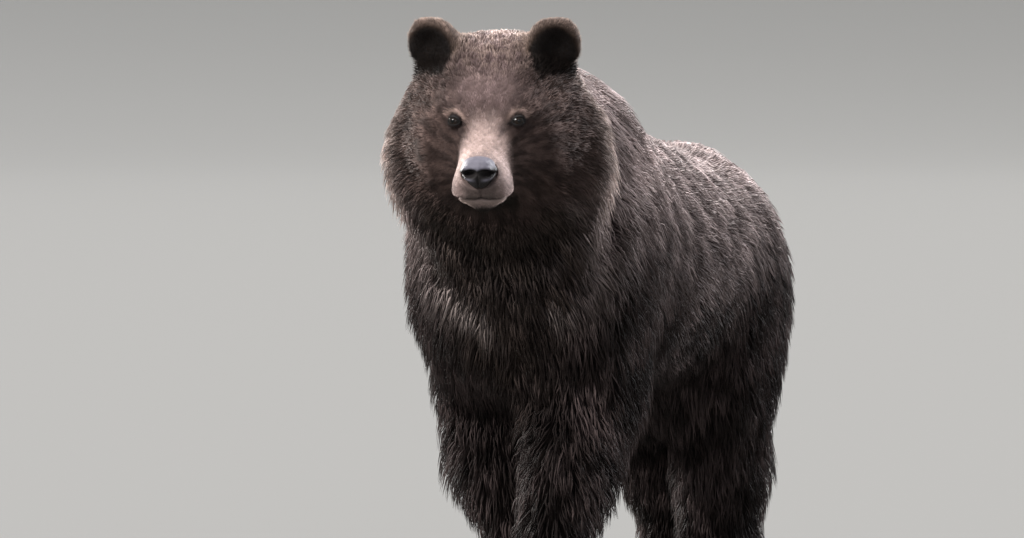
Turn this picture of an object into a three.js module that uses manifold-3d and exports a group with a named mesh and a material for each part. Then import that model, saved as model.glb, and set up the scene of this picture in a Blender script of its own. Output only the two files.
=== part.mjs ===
// A grizzly bear, standing in a slow walk: a still, life-size model in its full coat, out to the hair tips.
// Millimetres, +Z up. The bear faces -Y and its left side is towards +X. Its soles rest on Z = 0, and the
// origin is the middle of its footprint's bounding box. The body is modelled as one soft form, a smooth
// union of muscle masses, and is then parted with thin plane cuts into the pieces that a person would name.
import * as THREE from "three";
import { mergeVertices } from "three/addons/utils/BufferGeometryUtils.js";
import { LoftGeometry } from "three/addons/geometries/LoftGeometry.js";
import Module from "manifold-3d";

const wasm = await Module();
wasm.setup();

// ---- Driving dimensions ----
const GAP = 0.4; // clear space left between neighbouring pieces
const HUMP_TOP = 1100; // highest point of the shoulders
const RUMP_TOP = 945;
const BELLY_LINE = 445; // lowest point of the belly's coat
const SHOULDER_Y = -385; // station of the shoulders along the body
const RUMP_Y = 430; // station of the hips
const REAR_SWING = 40; // how far the hips stand to the left of the shoulders, as the body curves
const SHOULDER_HALF_WIDTH = 216;
const BELLY_HALF_WIDTH = 250;
const RUMP_HALF_WIDTH = 226;
const EYE_MIDPOINT = new THREE.Vector3(40, -830, 990);
const HEAD_YAW = THREE.MathUtils.degToRad(10); // the face turns towards the bear's left
const HEAD_PITCH = THREE.MathUtils.degToRad(17); // and the muzzle points a little down
const EYE_SPACING = 108;
const EYE_RADIUS = 12.5;
const EAR_SPACING = 222;
const MUZZLE_LENGTH = 160; // from between the eyes to the nose
const FORE_CLAW = { length: 62, radius: 8 };
const HIND_CLAW = { length: 38, radius: 7 };

// Facet sizes, chosen by how fine each piece's form is.
const CELL = { trunk: 70, neck: 54, leg: 54, head: 33, muzzle: 19, ear: 18, paw: 39, nose: 12, tail: 36 };

// ---- Soft forms: each is a function of (x, y, z) that is negative inside, roughly a distance ----
const clamp = THREE.MathUtils.clamp;

function softMin(a, b, blend) {
  const h = Math.max(blend - Math.abs(a - b), 0) / blend;
  return Math.min(a, b) - (h * h * blend) / 4;
}

function ellipsoid([cx, cy, cz], [rx, ry, rz]) {
  return (x, y, z) => {
    const [u, v, w] = [(x - cx) / rx, (y - cy) / ry, (z - cz) / rz];
    const near = Math.hypot(u, v, w);
    const slope = Math.hypot(u / rx, v / ry, w / rz);
    return slope > 0 ? (near * (near - 1)) / slope : -Math.min(rx, ry, rz);
  };
}

// A limb segment from a to b, each [x, y, z, radius]; `flat` narrows it across the body.
function segment(a, b, flat = 1) {
  const [dx, dy, dz, dr] = b.map((value, i) => value - a[i]);
  const across = dx / flat;
  const lengthSquared = across * across + dy * dy + dz * dz;
  return (x, y, z) => {
    const [px, py, pz] = [(x - a[0]) / flat, y - a[1], z - a[2]];
    const t = clamp((px * across + py * dy + pz * dz) / lengthSquared, 0, 1);
    const gap = Math.hypot(px - t * across, py - t * dy, pz - t * dz) - (a[3] + t * dr);
    return gap * Math.min(flat, 1);
  };
}

function chain(joints, flat, blend) {
  const segments = joints.slice(1).map((joint, i) => segment(joints[i], joint, flat));
  return union(segments, blend);
}

function union(forms, blend) {
  return (x, y, z) => forms.reduce((sum, form) => {
    const d = form(x, y, z);
    return sum === null ? d : softMin(sum, d, blend);
  }, null);
}

function carve(form, hollow, blend) {
  return (x, y, z) => -softMin(-form(x, y, z), hollow(x, y, z), blend);
}

// The form seen from another frame: matrix takes the frame's points to the form's.
function seenFrom(matrix, form) {
  const e = matrix.elements;
  return (x, y, z) => form(
    e[0] * x + e[4] * y + e[8] * z + e[12],
    e[1] * x + e[5] * y + e[9] * z + e[13],
    e[2] * x + e[6] * y + e[10] * z + e[14],
  );
}

// ---- Facets: a surface net over a grid, each vertex then drawn onto the form ----
function facets(form, [lo, hi], cell) {
  const size = hi.map((top, i) => Math.ceil((top - lo[i]) / cell) + 1);
  const index = (i, j, k) => i + size[0] * (j + size[1] * k);
  const value = new Float64Array(size[0] * size[1] * size[2]);
  for (let k = 0; k < size[2]; k++)
    for (let j = 0; j < size[1]; j++)
      for (let i = 0; i < size[0]; i++) {
        const border = [i, j, k].some((n, axis) => n === 0 || n === size[axis] - 1);
        const d = form(lo[0] + i * cell, lo[1] + j * cell, lo[2] + k * cell);
        value[index(i, j, k)] = border ? Math.max(d, cell / 2) : d;
      }
  const corners = [...Array(8).keys()].map((n) => [n & 1, (n >> 1) & 1, n >> 2]);
  const edges = [];
  corners.forEach((a, m) => corners.forEach((b, n) => {
    if (m < n && a.filter((bit, axis) => bit !== b[axis]).length === 1) edges.push([m, n]);
  }));
  const vertexOf = new Map();
  const positions = [];
  const interior = (cellIndex) => cellIndex.every((n, axis) => n > 0 && n < size[axis] - 2);
  for (let k = 0; k < size[2] - 1; k++)
    for (let j = 0; j < size[1] - 1; j++)
      for (let i = 0; i < size[0] - 1; i++) {
        const at = corners.map(([a, b, c]) => value[index(i + a, j + b, k + c)]);
        const sum = new THREE.Vector3();
        let crossings = 0;
        for (const [m, n] of edges) {
          if (at[m] < 0 === at[n] < 0) continue;
          const t = at[m] / (at[m] - at[n]);
          const ends = [corners[m], corners[n]].map((c) => new THREE.Vector3(...c));
          sum.add(ends[0].lerp(ends[1], t));
          crossings++;
        }
        if (!crossings) continue;
        const p = sum.divideScalar(crossings).add(new THREE.Vector3(i, j, k)).multiplyScalar(cell);
        p.add(new THREE.Vector3(...lo));
        if (interior([i, j, k])) drawOnto(form, p, cell);
        vertexOf.set(index(i, j, k), positions.length / 3);
        positions.push(p.x, p.y, p.z);
      }
  return closedMesh(positions, quadsBetween(value, size, index, vertexOf));
}

// Two Newton steps along the gradient, kept within the vertex's own cell.
function drawOnto(form, p, cell) {
  const e = cell / 20;
  const reach = cell / 4;
  for (let step = 0; step < 2; step++) {
    const d = form(p.x, p.y, p.z);
    const slope = new THREE.Vector3(
      form(p.x + e, p.y, p.z) - form(p.x - e, p.y, p.z),
      form(p.x, p.y + e, p.z) - form(p.x, p.y - e, p.z),
      form(p.x, p.y, p.z + e) - form(p.x, p.y, p.z - e),
    ).divideScalar(2 * e);
    const move = clamp(-d / Math.max(slope.lengthSq(), 0.2), -reach, reach);
    p.addScaledVector(slope, move);
  }
}

function quadsBetween(value, size, index, vertexOf) {
  const triangles = [];
  const unit = [[1, 0, 0], [0, 1, 0], [0, 0, 1]];
  for (let k = 0; k < size[2] - 1; k++)
    for (let j = 0; j < size[1] - 1; j++)
      for (let i = 0; i < size[0] - 1; i++)
        unit.forEach((step, axis) => {
          const here = value[index(i, j, k)] < 0;
          const there = value[index(i + step[0], j + step[1], k + step[2])] < 0;
          if (here === there) return;
          const [u, v] = [unit[(axis + 1) % 3], unit[(axis + 2) % 3]];
          const ring = [[0, 0], [1, 0], [1, 1], [0, 1]].map(([a, b]) => vertexOf.get(
            index(i - a * u[0] - b * v[0], j - a * u[1] - b * v[1], k - a * u[2] - b * v[2]),
          ));
          if (!here) ring.reverse();
          triangles.push(ring[0], ring[1], ring[2], ring[0], ring[2], ring[3]);
        });
  return triangles;
}

// ---- Solids: closed bodies, which are cut by planes and by one another ----
function closedMesh(positions, triangles) {
  return new wasm.Manifold(new wasm.Mesh({
    numProp: 3,
    vertProperties: new Float32Array(positions),
    triVerts: new Uint32Array(triangles),
  }));
}

function solidFrom(geometry) {
  const bare = new THREE.BufferGeometry().copy(geometry);
  bare.deleteAttribute("normal");
  bare.deleteAttribute("uv");
  const merged = mergeVertices(bare, 1e-3);
  return closedMesh(merged.attributes.position.array, merged.index.array);
}

// The same solid, a little larger about a point inside it: the pocket that it sits in.
function pocketFor(solid, [x, y, z], factor) {
  const geometry = geometryFrom(solid);
  geometry.translate(-x, -y, -z).scale(factor, factor, factor).translate(x, y, z);
  return solidFrom(geometry);
}

function geometryFrom(solid) {
  const mesh = solid.getMesh();
  const geometry = new THREE.BufferGeometry();
  geometry.setAttribute("position", new THREE.BufferAttribute(new Float32Array(mesh.vertProperties), 3));
  geometry.setIndex(new THREE.BufferAttribute(new Uint32Array(mesh.triVerts), 1));
  geometry.computeVertexNormals();
  return geometry;
}

// A cut is a plane, as the direction to its kept side and a point on it.
const cut = (direction, point) => {
  const normal = new THREE.Vector3(...direction).normalize();
  return { normal, offset: normal.dot(new THREE.Vector3(...point)) };
};
const flipped = ({ normal, offset }) => ({ normal: normal.clone().negate(), offset: -offset });
const keep = (solid, cuts, spare = GAP / 2) => cuts.reduce(
  (left, { normal, offset }) => left.trimByPlane(normal.toArray(), offset + spare),
  solid,
);
const REACH = 4000;
const wedge = (cuts) => keep(solidFrom(new THREE.BoxGeometry(REACH, REACH, REACH)), cuts, -GAP / 2);
const remove = (solid, ...regions) => regions.reduce((left, cuts) => left.subtract(wedge(cuts)), solid);

// Only the largest body is kept, so that no sliver is left at a cut.
function largest(solid) {
  return solid.decompose().reduce((a, b) => (a.volume() > b.volume() ? a : b));
}

// ---- Materials ----
const material = (color, roughness) => new THREE.MeshStandardMaterial({ color, roughness, metalness: 0 });
const COAT = {
  back: material(0x5b4a3f, 0.9),
  head: material(0x66544a, 0.9),
  leg: material(0x2b211c, 0.9),
  muzzle: material(0x9c8068, 0.85),
  ear: material(0x3a2c25, 0.9),
};
const NOSE_LEATHER = material(0x1c1a1d, 0.45);
const EYE = material(0x1a0f08, 0.1);
const CLAW_HORN = material(0x4a3b2c, 0.4);

const bear = new THREE.Group();

function place(parent, name, solid, finish) {
  const mesh = new THREE.Mesh(geometryFrom(largest(solid)), finish);
  mesh.name = name;
  parent.add(mesh);
  return mesh;
}

// ---- The trunk's masses ----
const CHEST_LINE = 470;
const middle = (top, bottom) => (top + bottom) / 2;
const half = (top, bottom) => (top - bottom) / 2;
const SHOULDER_CENTRE = 760;
const ribcage = ellipsoid([0, -190, middle(1000, CHEST_LINE)], [246, 410, half(1000, CHEST_LINE)]);
const hump = ellipsoid([0, SHOULDER_Y + 25, SHOULDER_CENTRE], [160, 225, HUMP_TOP - SHOULDER_CENTRE - 6]);
const belly = ellipsoid([0, 120, middle(940, BELLY_LINE)], [BELLY_HALF_WIDTH, 440, half(940, BELLY_LINE)]);
const rump = ellipsoid([0, RUMP_Y - 5, RUMP_TOP - 310], [RUMP_HALF_WIDTH - 10, 262, 300]);
const chestFront = ellipsoid([0, SHOULDER_Y - 95, 730], [190, 150, 225]);
const straightTrunk = union([ribcage, hump, belly, rump, chestFront], 90);
const swing = (y) => REAR_SWING * THREE.MathUtils.smoothstep(y, SHOULDER_Y + 150, RUMP_Y);
const trunkForm = (x, y, z) => straightTrunk(x - swing(y), y, z);

const TAIL_ROOT = [REAR_SWING, RUMP_Y + 192, 800, 42];
const TAIL_TIP = [REAR_SWING, RUMP_Y + 246, 690, 28];
const TAIL_HALF_WIDTH = 46;
const tailForm = segment(TAIL_ROOT, TAIL_TIP, 0.9);

// ---- Legs. side is 1 for the left and -1 for the right; y0 is how far the foot is set forward or back ----
function forelegJoints(side, wristY) {
  const stride = wristY - (SHOULDER_Y - 5);
  return {
    shoulder: [side * 122, SHOULDER_Y - 10, 760],
    point: [side * 122, SHOULDER_Y - 35 + 0.1 * stride, 650, 110],
    elbow: [side * 114 - 14, SHOULDER_Y + 55 + 0.5 * stride, 490, 118],
    forearm: [side * 100 - 18, SHOULDER_Y + 20 + 0.76 * stride, 345, 106],
    wrist: [side * 62 - 4, wristY, 175, 84],
    paw: [side * 60 - 4, wristY - 75, 52],
  };
}

function hindlegJoints(side, ankleY) {
  const stride = ankleY - (RUMP_Y + 25);
  return {
    thigh: [REAR_SWING + side * 122, RUMP_Y - 25 + 0.18 * stride, 600],
    knee: [REAR_SWING + side * 112, RUMP_Y - 105 + 0.52 * stride, 450, 126],
    shin: [REAR_SWING + side * 84, RUMP_Y - 5 + 0.82 * stride, 280, 114],
    ankle: [REAR_SWING + side * 70, ankleY, 120, 104],
    paw: [REAR_SWING + side * 70, ankleY - 105, 42],
  };
}

const fore = { left: forelegJoints(1, SHOULDER_Y - 145), right: forelegJoints(-1, SHOULDER_Y + 130) };
const hind = { left: hindlegJoints(1, RUMP_Y + 80), right: hindlegJoints(-1, RUMP_Y + 335) };
const SIDES = { left: 1, right: -1 };

function forelegForm(joints) {
  const blade = ellipsoid(joints.shoulder, [SHOULDER_HALF_WIDTH - 128, 165, 270]);
  const elbowFringe = ellipsoid(
    [joints.elbow[0], joints.elbow[1] + 44, joints.elbow[2] - 50],
    [62, 66, 120],
  );
  const bones = chain([joints.point, joints.elbow, joints.forearm, joints.wrist], 0.95, 40);
  return union([blade, bones, elbowFringe], 70);
}

function hindlegForm(joints) {
  const thigh = ellipsoid(joints.thigh, [RUMP_HALF_WIDTH - 122, 205, 235]);
  const shank = chain([joints.knee, joints.shin, joints.ankle], 0.88, 60);
  return union([thigh, shank], 80);
}

// A paw is a low mound with five toes in an arc. Toes are numbered from the inside of the foot outwards.
const TOES = [1, 2, 3, 4, 5];
const PAW = {
  fore: { length: 128, width: 82, height: 66, toe: 25, reach: 92, turn: 0.22 },
  hind: { length: 158, width: 76, height: 60, toe: 22, reach: 128, turn: 0.06 },
};
const toePlace = (kind, toe) => {
  const along = (toe - 3) / 2;
  const { width, reach, toe: radius } = PAW[kind];
  return [along * (width - 14), -reach + 24 * along * along, radius * 0.98];
};

function pawFrame(kind, side, [x, y]) {
  const frame = new THREE.Object3D();
  frame.position.set(x, y, 0);
  frame.rotation.z = -side * PAW[kind].turn;
  frame.updateMatrix();
  return frame;
}

function pawForm(kind, frame) {
  const { length, width, height, toe } = PAW[kind];
  const mound = ellipsoid([0, 6, height * 0.42], [width, length, height]);
  const toes = TOES.map((n) => ellipsoid(toePlace(kind, n), [toe * 0.98, toe * 1.5, toe * 1.15]));
  const local = union([mound, union(toes, 8)], 22);
  return seenFrom(frame.matrix.clone().invert(), local);
}

const pawFrames = {};
const limbForm = {};
for (const [name, side] of Object.entries(SIDES)) {
  pawFrames[`fore_${name}`] = pawFrame("fore", side, fore[name].paw);
  pawFrames[`hind_${name}`] = pawFrame("hind", side, hind[name].paw);
  limbForm[`fore_${name}`] = union([forelegForm(fore[name]), pawForm("fore", pawFrames[`fore_${name}`])], 45);
  limbForm[`hind_${name}`] = union([hindlegForm(hind[name]), pawForm("hind", pawFrames[`hind_${name}`])], 45);
}

// ---- The head, in its own frame: origin midway between the eyes, -Y along the muzzle, +X its left ----
const head = new THREE.Group();
head.position.copy(EYE_MIDPOINT);
head.rotation.set(HEAD_PITCH, 0, HEAD_YAW, "ZYX");
head.updateMatrix();
const NOSE_AT = [0, -MUZZLE_LENGTH, -49];
const MUZZLE_BACK = -MUZZLE_LENGTH + 48; // where the muzzle rounds over behind the nose
const EAR_AT = [EAR_SPACING / 2, 122, 98];
const both = ([x, y, z]) => [[x, y, z], [-x, y, z]];
const mirrored = (make, at) => both(at).map(make);

const cranium = ellipsoid([0, 155, 0], [118, 130, 90]);
const browRidges = union(mirrored((at) => ellipsoid(at, [34, 32, 20]), [46, 26, 24]), 20);
const cheekbones = ellipsoid([0, 110, -38], [138, 122, 82]);
const bridge = segment([0, 30, -50, 50], [0, MUZZLE_BACK, -62, 42], 1.08);
const lips = union(mirrored((at) => ellipsoid(at, [32, 46, 30]), [26, -100, -88]), 12);
const jaw = segment([0, 40, -104, 54], [0, MUZZLE_BACK + 10, -115, 25], 1.08);
const cheeks = union(mirrored((at) => ellipsoid(at, [66, 80, 72]), [80, 80, -62]), 30);
const ruff = ellipsoid([0, 150, -120], [221, 110, 198]);
const throat = ellipsoid([0, 130, -130], [150, 105, 120]);
const sockets = union(mirrored((at) => ellipsoid(at, [20, 16, 15]), [EYE_SPACING / 2 + 2, -10, -2]), 2);
const skull = union([cranium, cheekbones, cheeks, bridge, jaw], 24);
const faceForm = carve(union([skull, browRidges, lips], 14), sockets, 8);
const headLocal = union([faceForm, union([ruff, throat], 60)], 34);

// An ear is a thick round shell, open to the front, standing on the side of the crown.
const EAR_RADIUS = 54;
const EAR_TURN = THREE.MathUtils.degToRad(16);
const EAR_LEAN = THREE.MathUtils.degToRad(20);
function earFrame(side) {
  const frame = new THREE.Object3D();
  frame.position.set(side * EAR_AT[0], EAR_AT[1], EAR_AT[2]);
  frame.rotation.set(0, side * EAR_LEAN, side * EAR_TURN, "ZYX");
  frame.updateMatrix();
  return frame;
}
const earLocal = carve(
  union([ellipsoid([0, 0, 6], [EAR_RADIUS, 27, EAR_RADIUS]), ellipsoid([0, 4, -34], [43, 30, 36])], 18),
  ellipsoid([0, -30, 2], [35, 27, 37]),
  10,
);
const earFrames = Object.fromEntries(
  Object.entries(SIDES).map(([name, side]) => [name, earFrame(side)]),
);
const earsForm = union(
  Object.values(earFrames).map((frame) => seenFrom(frame.matrix.clone().invert(), earLocal)),
  1,
);
const headForm = seenFrom(head.matrix.clone().invert(), headLocal);

const NECK_BACK = [0, SHOULDER_Y + 40, 825, 218];
const neckFront = new THREE.Vector3(0, 140, -50).applyMatrix4(head.matrix);
const nape = new THREE.Vector3(0, 195, -16).applyMatrix4(head.matrix);
const neckForm = union([
  segment([...neckFront.toArray(), 172], NECK_BACK, 0.94),
  segment([...nape.toArray(), 94], [0, SHOULDER_Y, 950, 125], 1),
  segment([neckFront.x, neckFront.y + 10, neckFront.z - 50, 120], [0, SHOULDER_Y - 60, 690, 170], 0.98),
], 70);

const bodyForm = union([trunkForm, neckForm, ...Object.values(limbForm)], 70);
const headedForm = union([bodyForm, headForm], 50);
const wholeForm = union([headedForm, tailForm], 30);
const limbOnBody = (name) => union([union([trunkForm, neckForm], 70), limbForm[name]], 70);

// ---- The cuts that part the body ----
const OCCIPUT = [0, 222, 120];
const neckToHead = cut([0, 1, -0.46], OCCIPUT); // in the head's frame, kept side towards the neck
const neckToHeadWorld = (() => {
  const normal = neckToHead.normal.clone().transformDirection(head.matrix);
  const point = new THREE.Vector3(...OCCIPUT).applyMatrix4(head.matrix);
  return { normal, offset: normal.dot(point) };
})();
const trunkToNeck = cut([0, -1, 0.42], [0, SHOULDER_Y - 100, 860]);
const legRegion = {
  fore: (side) => [
    cut([side, 0, -0.45], [side * 66, 0, 545]),
    cut([0, -1, -0.12], [0, SHOULDER_Y + 205, 600]),
    cut([side, 0, 0], [0, 0, 0]),
    flipped(trunkToNeck),
  ],
  hind: (side) => [
    cut([side, 0, -0.5], [REAR_SWING + side * 66, 0, 500]),
    cut([0, 1, -0.62], [0, RUMP_Y - 290, 640]),
    cut([side, 0, 0], [REAR_SWING, 0, 0]),
  ],
};
const wristCut = (kind) => cut([0, 0, 1], [0, 0, kind === "fore" ? 118 : 112]);
const tailRegion = [
  cut([0, 1, 0.3], [0, RUMP_Y + 198, 790]),
  cut([1, 0, 0], [REAR_SWING - TAIL_HALF_WIDTH, 0, 0]),
  cut([-1, 0, 0], [REAR_SWING + TAIL_HALF_WIDTH, 0, 0]),
  cut([0, 0, 1], [0, 0, 640]),
];
const everywhere = [[-520, -1080, -60], [520, 880, 1260]];

function boxAbout([x, y, z], [rx, ry, rz]) {
  return [[x - rx, y - ry, z - rz], [x + rx, y + ry, z + rz]];
}

// ---- Trunk, neck and tail ----
const allLegs = Object.values(SIDES).flatMap((side) => [legRegion.fore(side), legRegion.hind(side)]);
place(
  bear,
  "trunk",
  remove(keep(facets(wholeForm, everywhere, CELL.trunk), [flipped(trunkToNeck)]), tailRegion, ...allLegs),
  COAT.back,
);
place(
  bear,
  "neck",
  keep(facets(wholeForm, everywhere, CELL.neck), [trunkToNeck, neckToHeadWorld]),
  COAT.back,
);
place(
  bear,
  "tail",
  keep(facets(wholeForm, boxAbout(TAIL_TIP, [170, 170, 190]), CELL.tail), tailRegion),
  COAT.back,
);

// ---- Legs, paws and claws ----
// A claw is a loft of shrinking ovals along an arc that starts level and curls to the ground.
function clawGeometry({ length, radius }) {
  const curl = new THREE.QuadraticBezierCurve3(
    new THREE.Vector3(0, length * 0.28, 2),
    new THREE.Vector3(0, -length * 0.5, 12),
    new THREE.Vector3(0, -length * 0.78, -14),
  );
  const RINGS = 4;
  const AROUND = 6;
  const sections = [...Array(RINGS).keys()].map((ring) => {
    const along = ring / (RINGS - 1);
    const middlePoint = curl.getPoint(along);
    const down = curl.getTangent(along);
    const rise = new THREE.Vector3(0, -down.z, down.y).multiplyScalar(-1);
    const thick = radius * (1 - 0.86 * along ** 1.5);
    return [...Array(AROUND).keys()].map((n) => {
      const angle = (n / AROUND) * Math.PI * 2;
      return new THREE.Vector3(Math.cos(angle) * thick * 0.72, 0, 0)
        .addScaledVector(rise, Math.sin(angle) * thick)
        .add(middlePoint);
    });
  });
  return new LoftGeometry(sections, { capStart: true, capEnd: true });
}

function clawPlace(kind, toe) {
  const [x, y, z] = toePlace(kind, toe);
  const { toe: radius } = PAW[kind];
  const claw = kind === "fore" ? FORE_CLAW : HIND_CLAW;
  const spot = new THREE.Object3D();
  spot.position.set(x, y - radius * 1.28, Math.max(z * 0.98, claw.radius + 12));
  spot.rotation.z = -x * 0.0035;
  spot.updateMatrix();
  return spot;
}

function addLimb(kind, name, side, joints) {
  const form = limbOnBody(`${kind}_${name}`);
  const bend = kind === "fore" ? joints.elbow : joints.knee;
  const wide = boxAbout([side * 150, bend[1], 470], [330, 520, 500]);
  const upper = keep(facets(form, wide, CELL.leg), [...legRegion[kind](side), wristCut(kind)]);
  place(bear, `${kind}leg_${name}`, upper, COAT.leg);

  const paw = new THREE.Group();
  const frame = pawFrames[`${kind}_${name}`];
  paw.position.copy(frame.position);
  paw.rotation.copy(frame.rotation);
  bear.add(paw);
  const inPaw = seenFrom(frame.matrix, form);
  const low = facets(inPaw, boxAbout([0, 0, 60], [210, 260, 150]), CELL.paw);
  const claws = TOES.map((toe) => clawPlace(kind, toe));
  const size = kind === "fore" ? FORE_CLAW : HIND_CLAW;
  const bed = { length: size.length, radius: size.radius + GAP };
  const cutting = claws.map((spot) => solidFrom(clawGeometry(bed).applyMatrix4(spot.matrix)));
  const foot = keep(keep(low, [flipped(wristCut(kind))]), [cut([0, 0, 1], [0, 0, 0])], 0);
  place(paw, `${kind}paw_${name}`, cutting.reduce((left, claw) => left.subtract(claw), foot), COAT.leg);
  claws.forEach((spot, i) => {
    const claw = new THREE.Mesh(clawGeometry(size), CLAW_HORN);
    claw.name = `claw_${kind}_${name}_${i + 1}`;
    claw.position.copy(spot.position);
    claw.rotation.copy(spot.rotation);
    paw.add(claw);
  });
}

for (const [name, side] of Object.entries(SIDES)) {
  addLimb("fore", name, side, fore[name]);
  addLimb("hind", name, side, hind[name]);
}

// ---- Head, muzzle, jaw, nose, ears and eyes, in the head's frame ----
bear.add(head);
const headSeen = seenFrom(head.matrix, wholeForm);
const headAndEars = (x, y, z) => softMin(headSeen(x, y, z), earsForm(x, y, z), 16);
const noseForm = union([
  ellipsoid([0, NOSE_AT[1] + 14, NOSE_AT[2] + 8], [35, 27, 21]),
  ellipsoid([0, NOSE_AT[1] + 18, NOSE_AT[2] - 13], [27, 24, 17]),
], 12);
const noseBox = boxAbout([0, NOSE_AT[1] + 15, NOSE_AT[2]], [62, 62, 62]);
const EYE_DEPTH = 6; // how far each eye's centre lies under the coat's surface

// Goes back from a point in front of the face until it is the given depth inside the form.
function sinkInto(form, start, depth) {
  const p = start.clone();
  for (let step = 0; step < 200 && form(p.x, p.y, p.z) > -depth; step++) p.y += 1;
  return p;
}
const eyeAt = Object.fromEntries(Object.entries(SIDES).map(
  ([name, side]) => [name, sinkInto(headSeen, new THREE.Vector3(side * EYE_SPACING / 2, -60, 0), EYE_DEPTH)],
));
const muzzleRegion = [cut([0, -1, 0], [0, -34, 0])];
const mouthLine = cut([0, 0.1, -1], [0, -100, -105]);
const EAR_CUT_HEIGHT = -24;
const EAR_CLEARANCE = 57;

function earRegion(frame) {
  const turned = (direction, point) => {
    const normal = new THREE.Vector3(...direction).transformDirection(frame.matrix);
    return cut(normal.toArray(), new THREE.Vector3(...point).applyMatrix4(frame.matrix).toArray());
  };
  return [
    turned([0, 0, 1], [0, 0, EAR_CUT_HEIGHT]),
    turned([1, 0, 0], [-EAR_CLEARANCE, 0, 0]),
    turned([-1, 0, 0], [EAR_CLEARANCE, 0, 0]),
    turned([0, 1, 0], [0, -EAR_CLEARANCE, 0]),
    turned([0, -1, 0], [0, EAR_CLEARANCE, 0]),
  ];
}

const headBox = boxAbout([0, 60, -60], [300, 320, 340]);
const eyeball = (radius, at) => solidFrom(
  new THREE.SphereGeometry(radius, 12, 8).translate(at.x, at.y, at.z),
);
const bareHead = remove(
  keep(facets(headAndEars, headBox, CELL.head), [flipped(neckToHead)]),
  muzzleRegion,
  ...Object.values(earFrames).map(earRegion),
);
const withSockets = Object.values(eyeAt).reduce(
  (left, at) => left.subtract(eyeball(EYE_RADIUS + GAP, at)),
  bareHead,
);
place(head, "head", withSockets, COAT.head);

const snout = facets(headSeen, boxAbout([0, -90, -80], [120, 130, 130]), CELL.muzzle);
const nose = facets(noseForm, noseBox, CELL.nose);
const noseBed = pocketFor(nose, [0, NOSE_AT[1] + 16, NOSE_AT[2]], 1.03);
place(head, "muzzle", keep(snout, [...muzzleRegion, flipped(mouthLine)]).subtract(noseBed), COAT.muzzle);
place(head, "lower_jaw", keep(snout, [...muzzleRegion, mouthLine]).subtract(noseBed), COAT.muzzle);
place(head, "nose", nose, NOSE_LEATHER);

for (const [name, frame] of Object.entries(earFrames)) {
  const around = boxAbout(frame.position.toArray(), [100, 100, 110]);
  const ear = keep(facets(headAndEars, around, CELL.ear), [...earRegion(frame), flipped(neckToHead)]);
  place(head, `ear_${name}`, ear, COAT.ear);
  const eye = new THREE.Mesh(new THREE.SphereGeometry(EYE_RADIUS, 12, 8), EYE);
  eye.name = `eye_${name}`;
  eye.position.copy(eyeAt[name]);
  head.add(eye);
}

// The origin is the middle of the bounding box, on the ground.
bear.updateMatrixWorld(true);
const bounds = new THREE.Box3().setFromObject(bear, true);
const centre = bounds.getCenter(new THREE.Vector3());
bear.position.set(-centre.x, -centre.y, 0);

export default bear;
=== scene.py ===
"""A grizzly bear standing, life size: one skin under a coat of tufts, and its eyes, nose and claws."""

import math
from collections import namedtuple

import bmesh
import bpy
import numpy as np
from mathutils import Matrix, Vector
from mathutils.bvhtree import BVHTree
from mathutils.kdtree import KDTree


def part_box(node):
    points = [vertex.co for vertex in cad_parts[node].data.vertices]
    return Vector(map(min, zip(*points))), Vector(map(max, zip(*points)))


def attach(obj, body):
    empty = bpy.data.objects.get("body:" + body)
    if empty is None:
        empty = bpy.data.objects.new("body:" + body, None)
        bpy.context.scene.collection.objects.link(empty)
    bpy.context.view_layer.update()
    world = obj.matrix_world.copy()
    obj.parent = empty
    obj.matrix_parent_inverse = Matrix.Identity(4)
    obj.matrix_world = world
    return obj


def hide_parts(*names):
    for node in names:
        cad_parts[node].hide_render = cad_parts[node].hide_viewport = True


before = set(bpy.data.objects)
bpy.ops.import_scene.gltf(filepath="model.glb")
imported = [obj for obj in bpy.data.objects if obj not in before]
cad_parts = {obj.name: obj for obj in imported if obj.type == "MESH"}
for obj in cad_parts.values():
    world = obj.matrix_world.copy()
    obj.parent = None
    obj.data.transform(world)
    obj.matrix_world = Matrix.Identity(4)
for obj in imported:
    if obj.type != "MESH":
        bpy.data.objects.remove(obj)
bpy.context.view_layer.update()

# ---- sizes, in metres and radians

HEAD_NODES = ("head", "muzzle", "lower_jaw")
EAR_NODES = ("ear_left", "ear_right")
FORELEGS = ("foreleg_left", "foreleg_right")
HINDLEGS = ("hindleg_left", "hindleg_right")
PAWS = ("forepaw_left", "forepaw_right", "hindpaw_left", "hindpaw_right")
FLESH = ("trunk", "neck", "tail", *HEAD_NODES, *EAR_NODES, *FORELEGS, *HINDLEGS, *PAWS)
SIDES = {"left": 1, "right": -1}
FEET = ("fore_left", "fore_right", "hind_left", "hind_right")
CLAWS = 5  # on each foot
ROOT_CORNERS = 8  # a claw's corners nearest to its paw, which make its root

UP = np.array((0.0, 0.0, 1.0))
BACKWARD = np.array((0.0, 1.0, 0.0))
HEAD_PITCH = math.radians(17)  # how far the muzzle points down
SKIN_VOXEL = 0.0105
NOSE_VOXEL = 0.0015
EYE_RADIUS = 0.0125
EYE_RAISED = 0.0035  # how far each eyeball stands above its solid
EYE_SPREAD = 0.002  # and further out than it
LID_THICKNESS = 0.0012
LID_WIDTH = 0.0105  # half the opening between the lids
UPPER_LID = 0.0062  # how high the opening reaches above its middle
LOWER_LID = 0.0048
SOLE_HEIGHT = 0.009  # below this there is no coat
UV_PATCH = 0.003  # the size of a tuft on its map
ROOT_DEPTH = 0.0012  # how far below the skin a tuft starts
LOWEST_TUFT = 0.0005  # tufts stay this far above the ground
MUZZLE_REACH = 0.125  # from the nose, to where the muzzle's coat ends
FACE_REACH = 0.215  # from the nose, to where the cheeks' coat begins
ROSY = (1.03, 0.955, 0.975)  # the warm cast of the whole coat
SEED = 11

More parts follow.
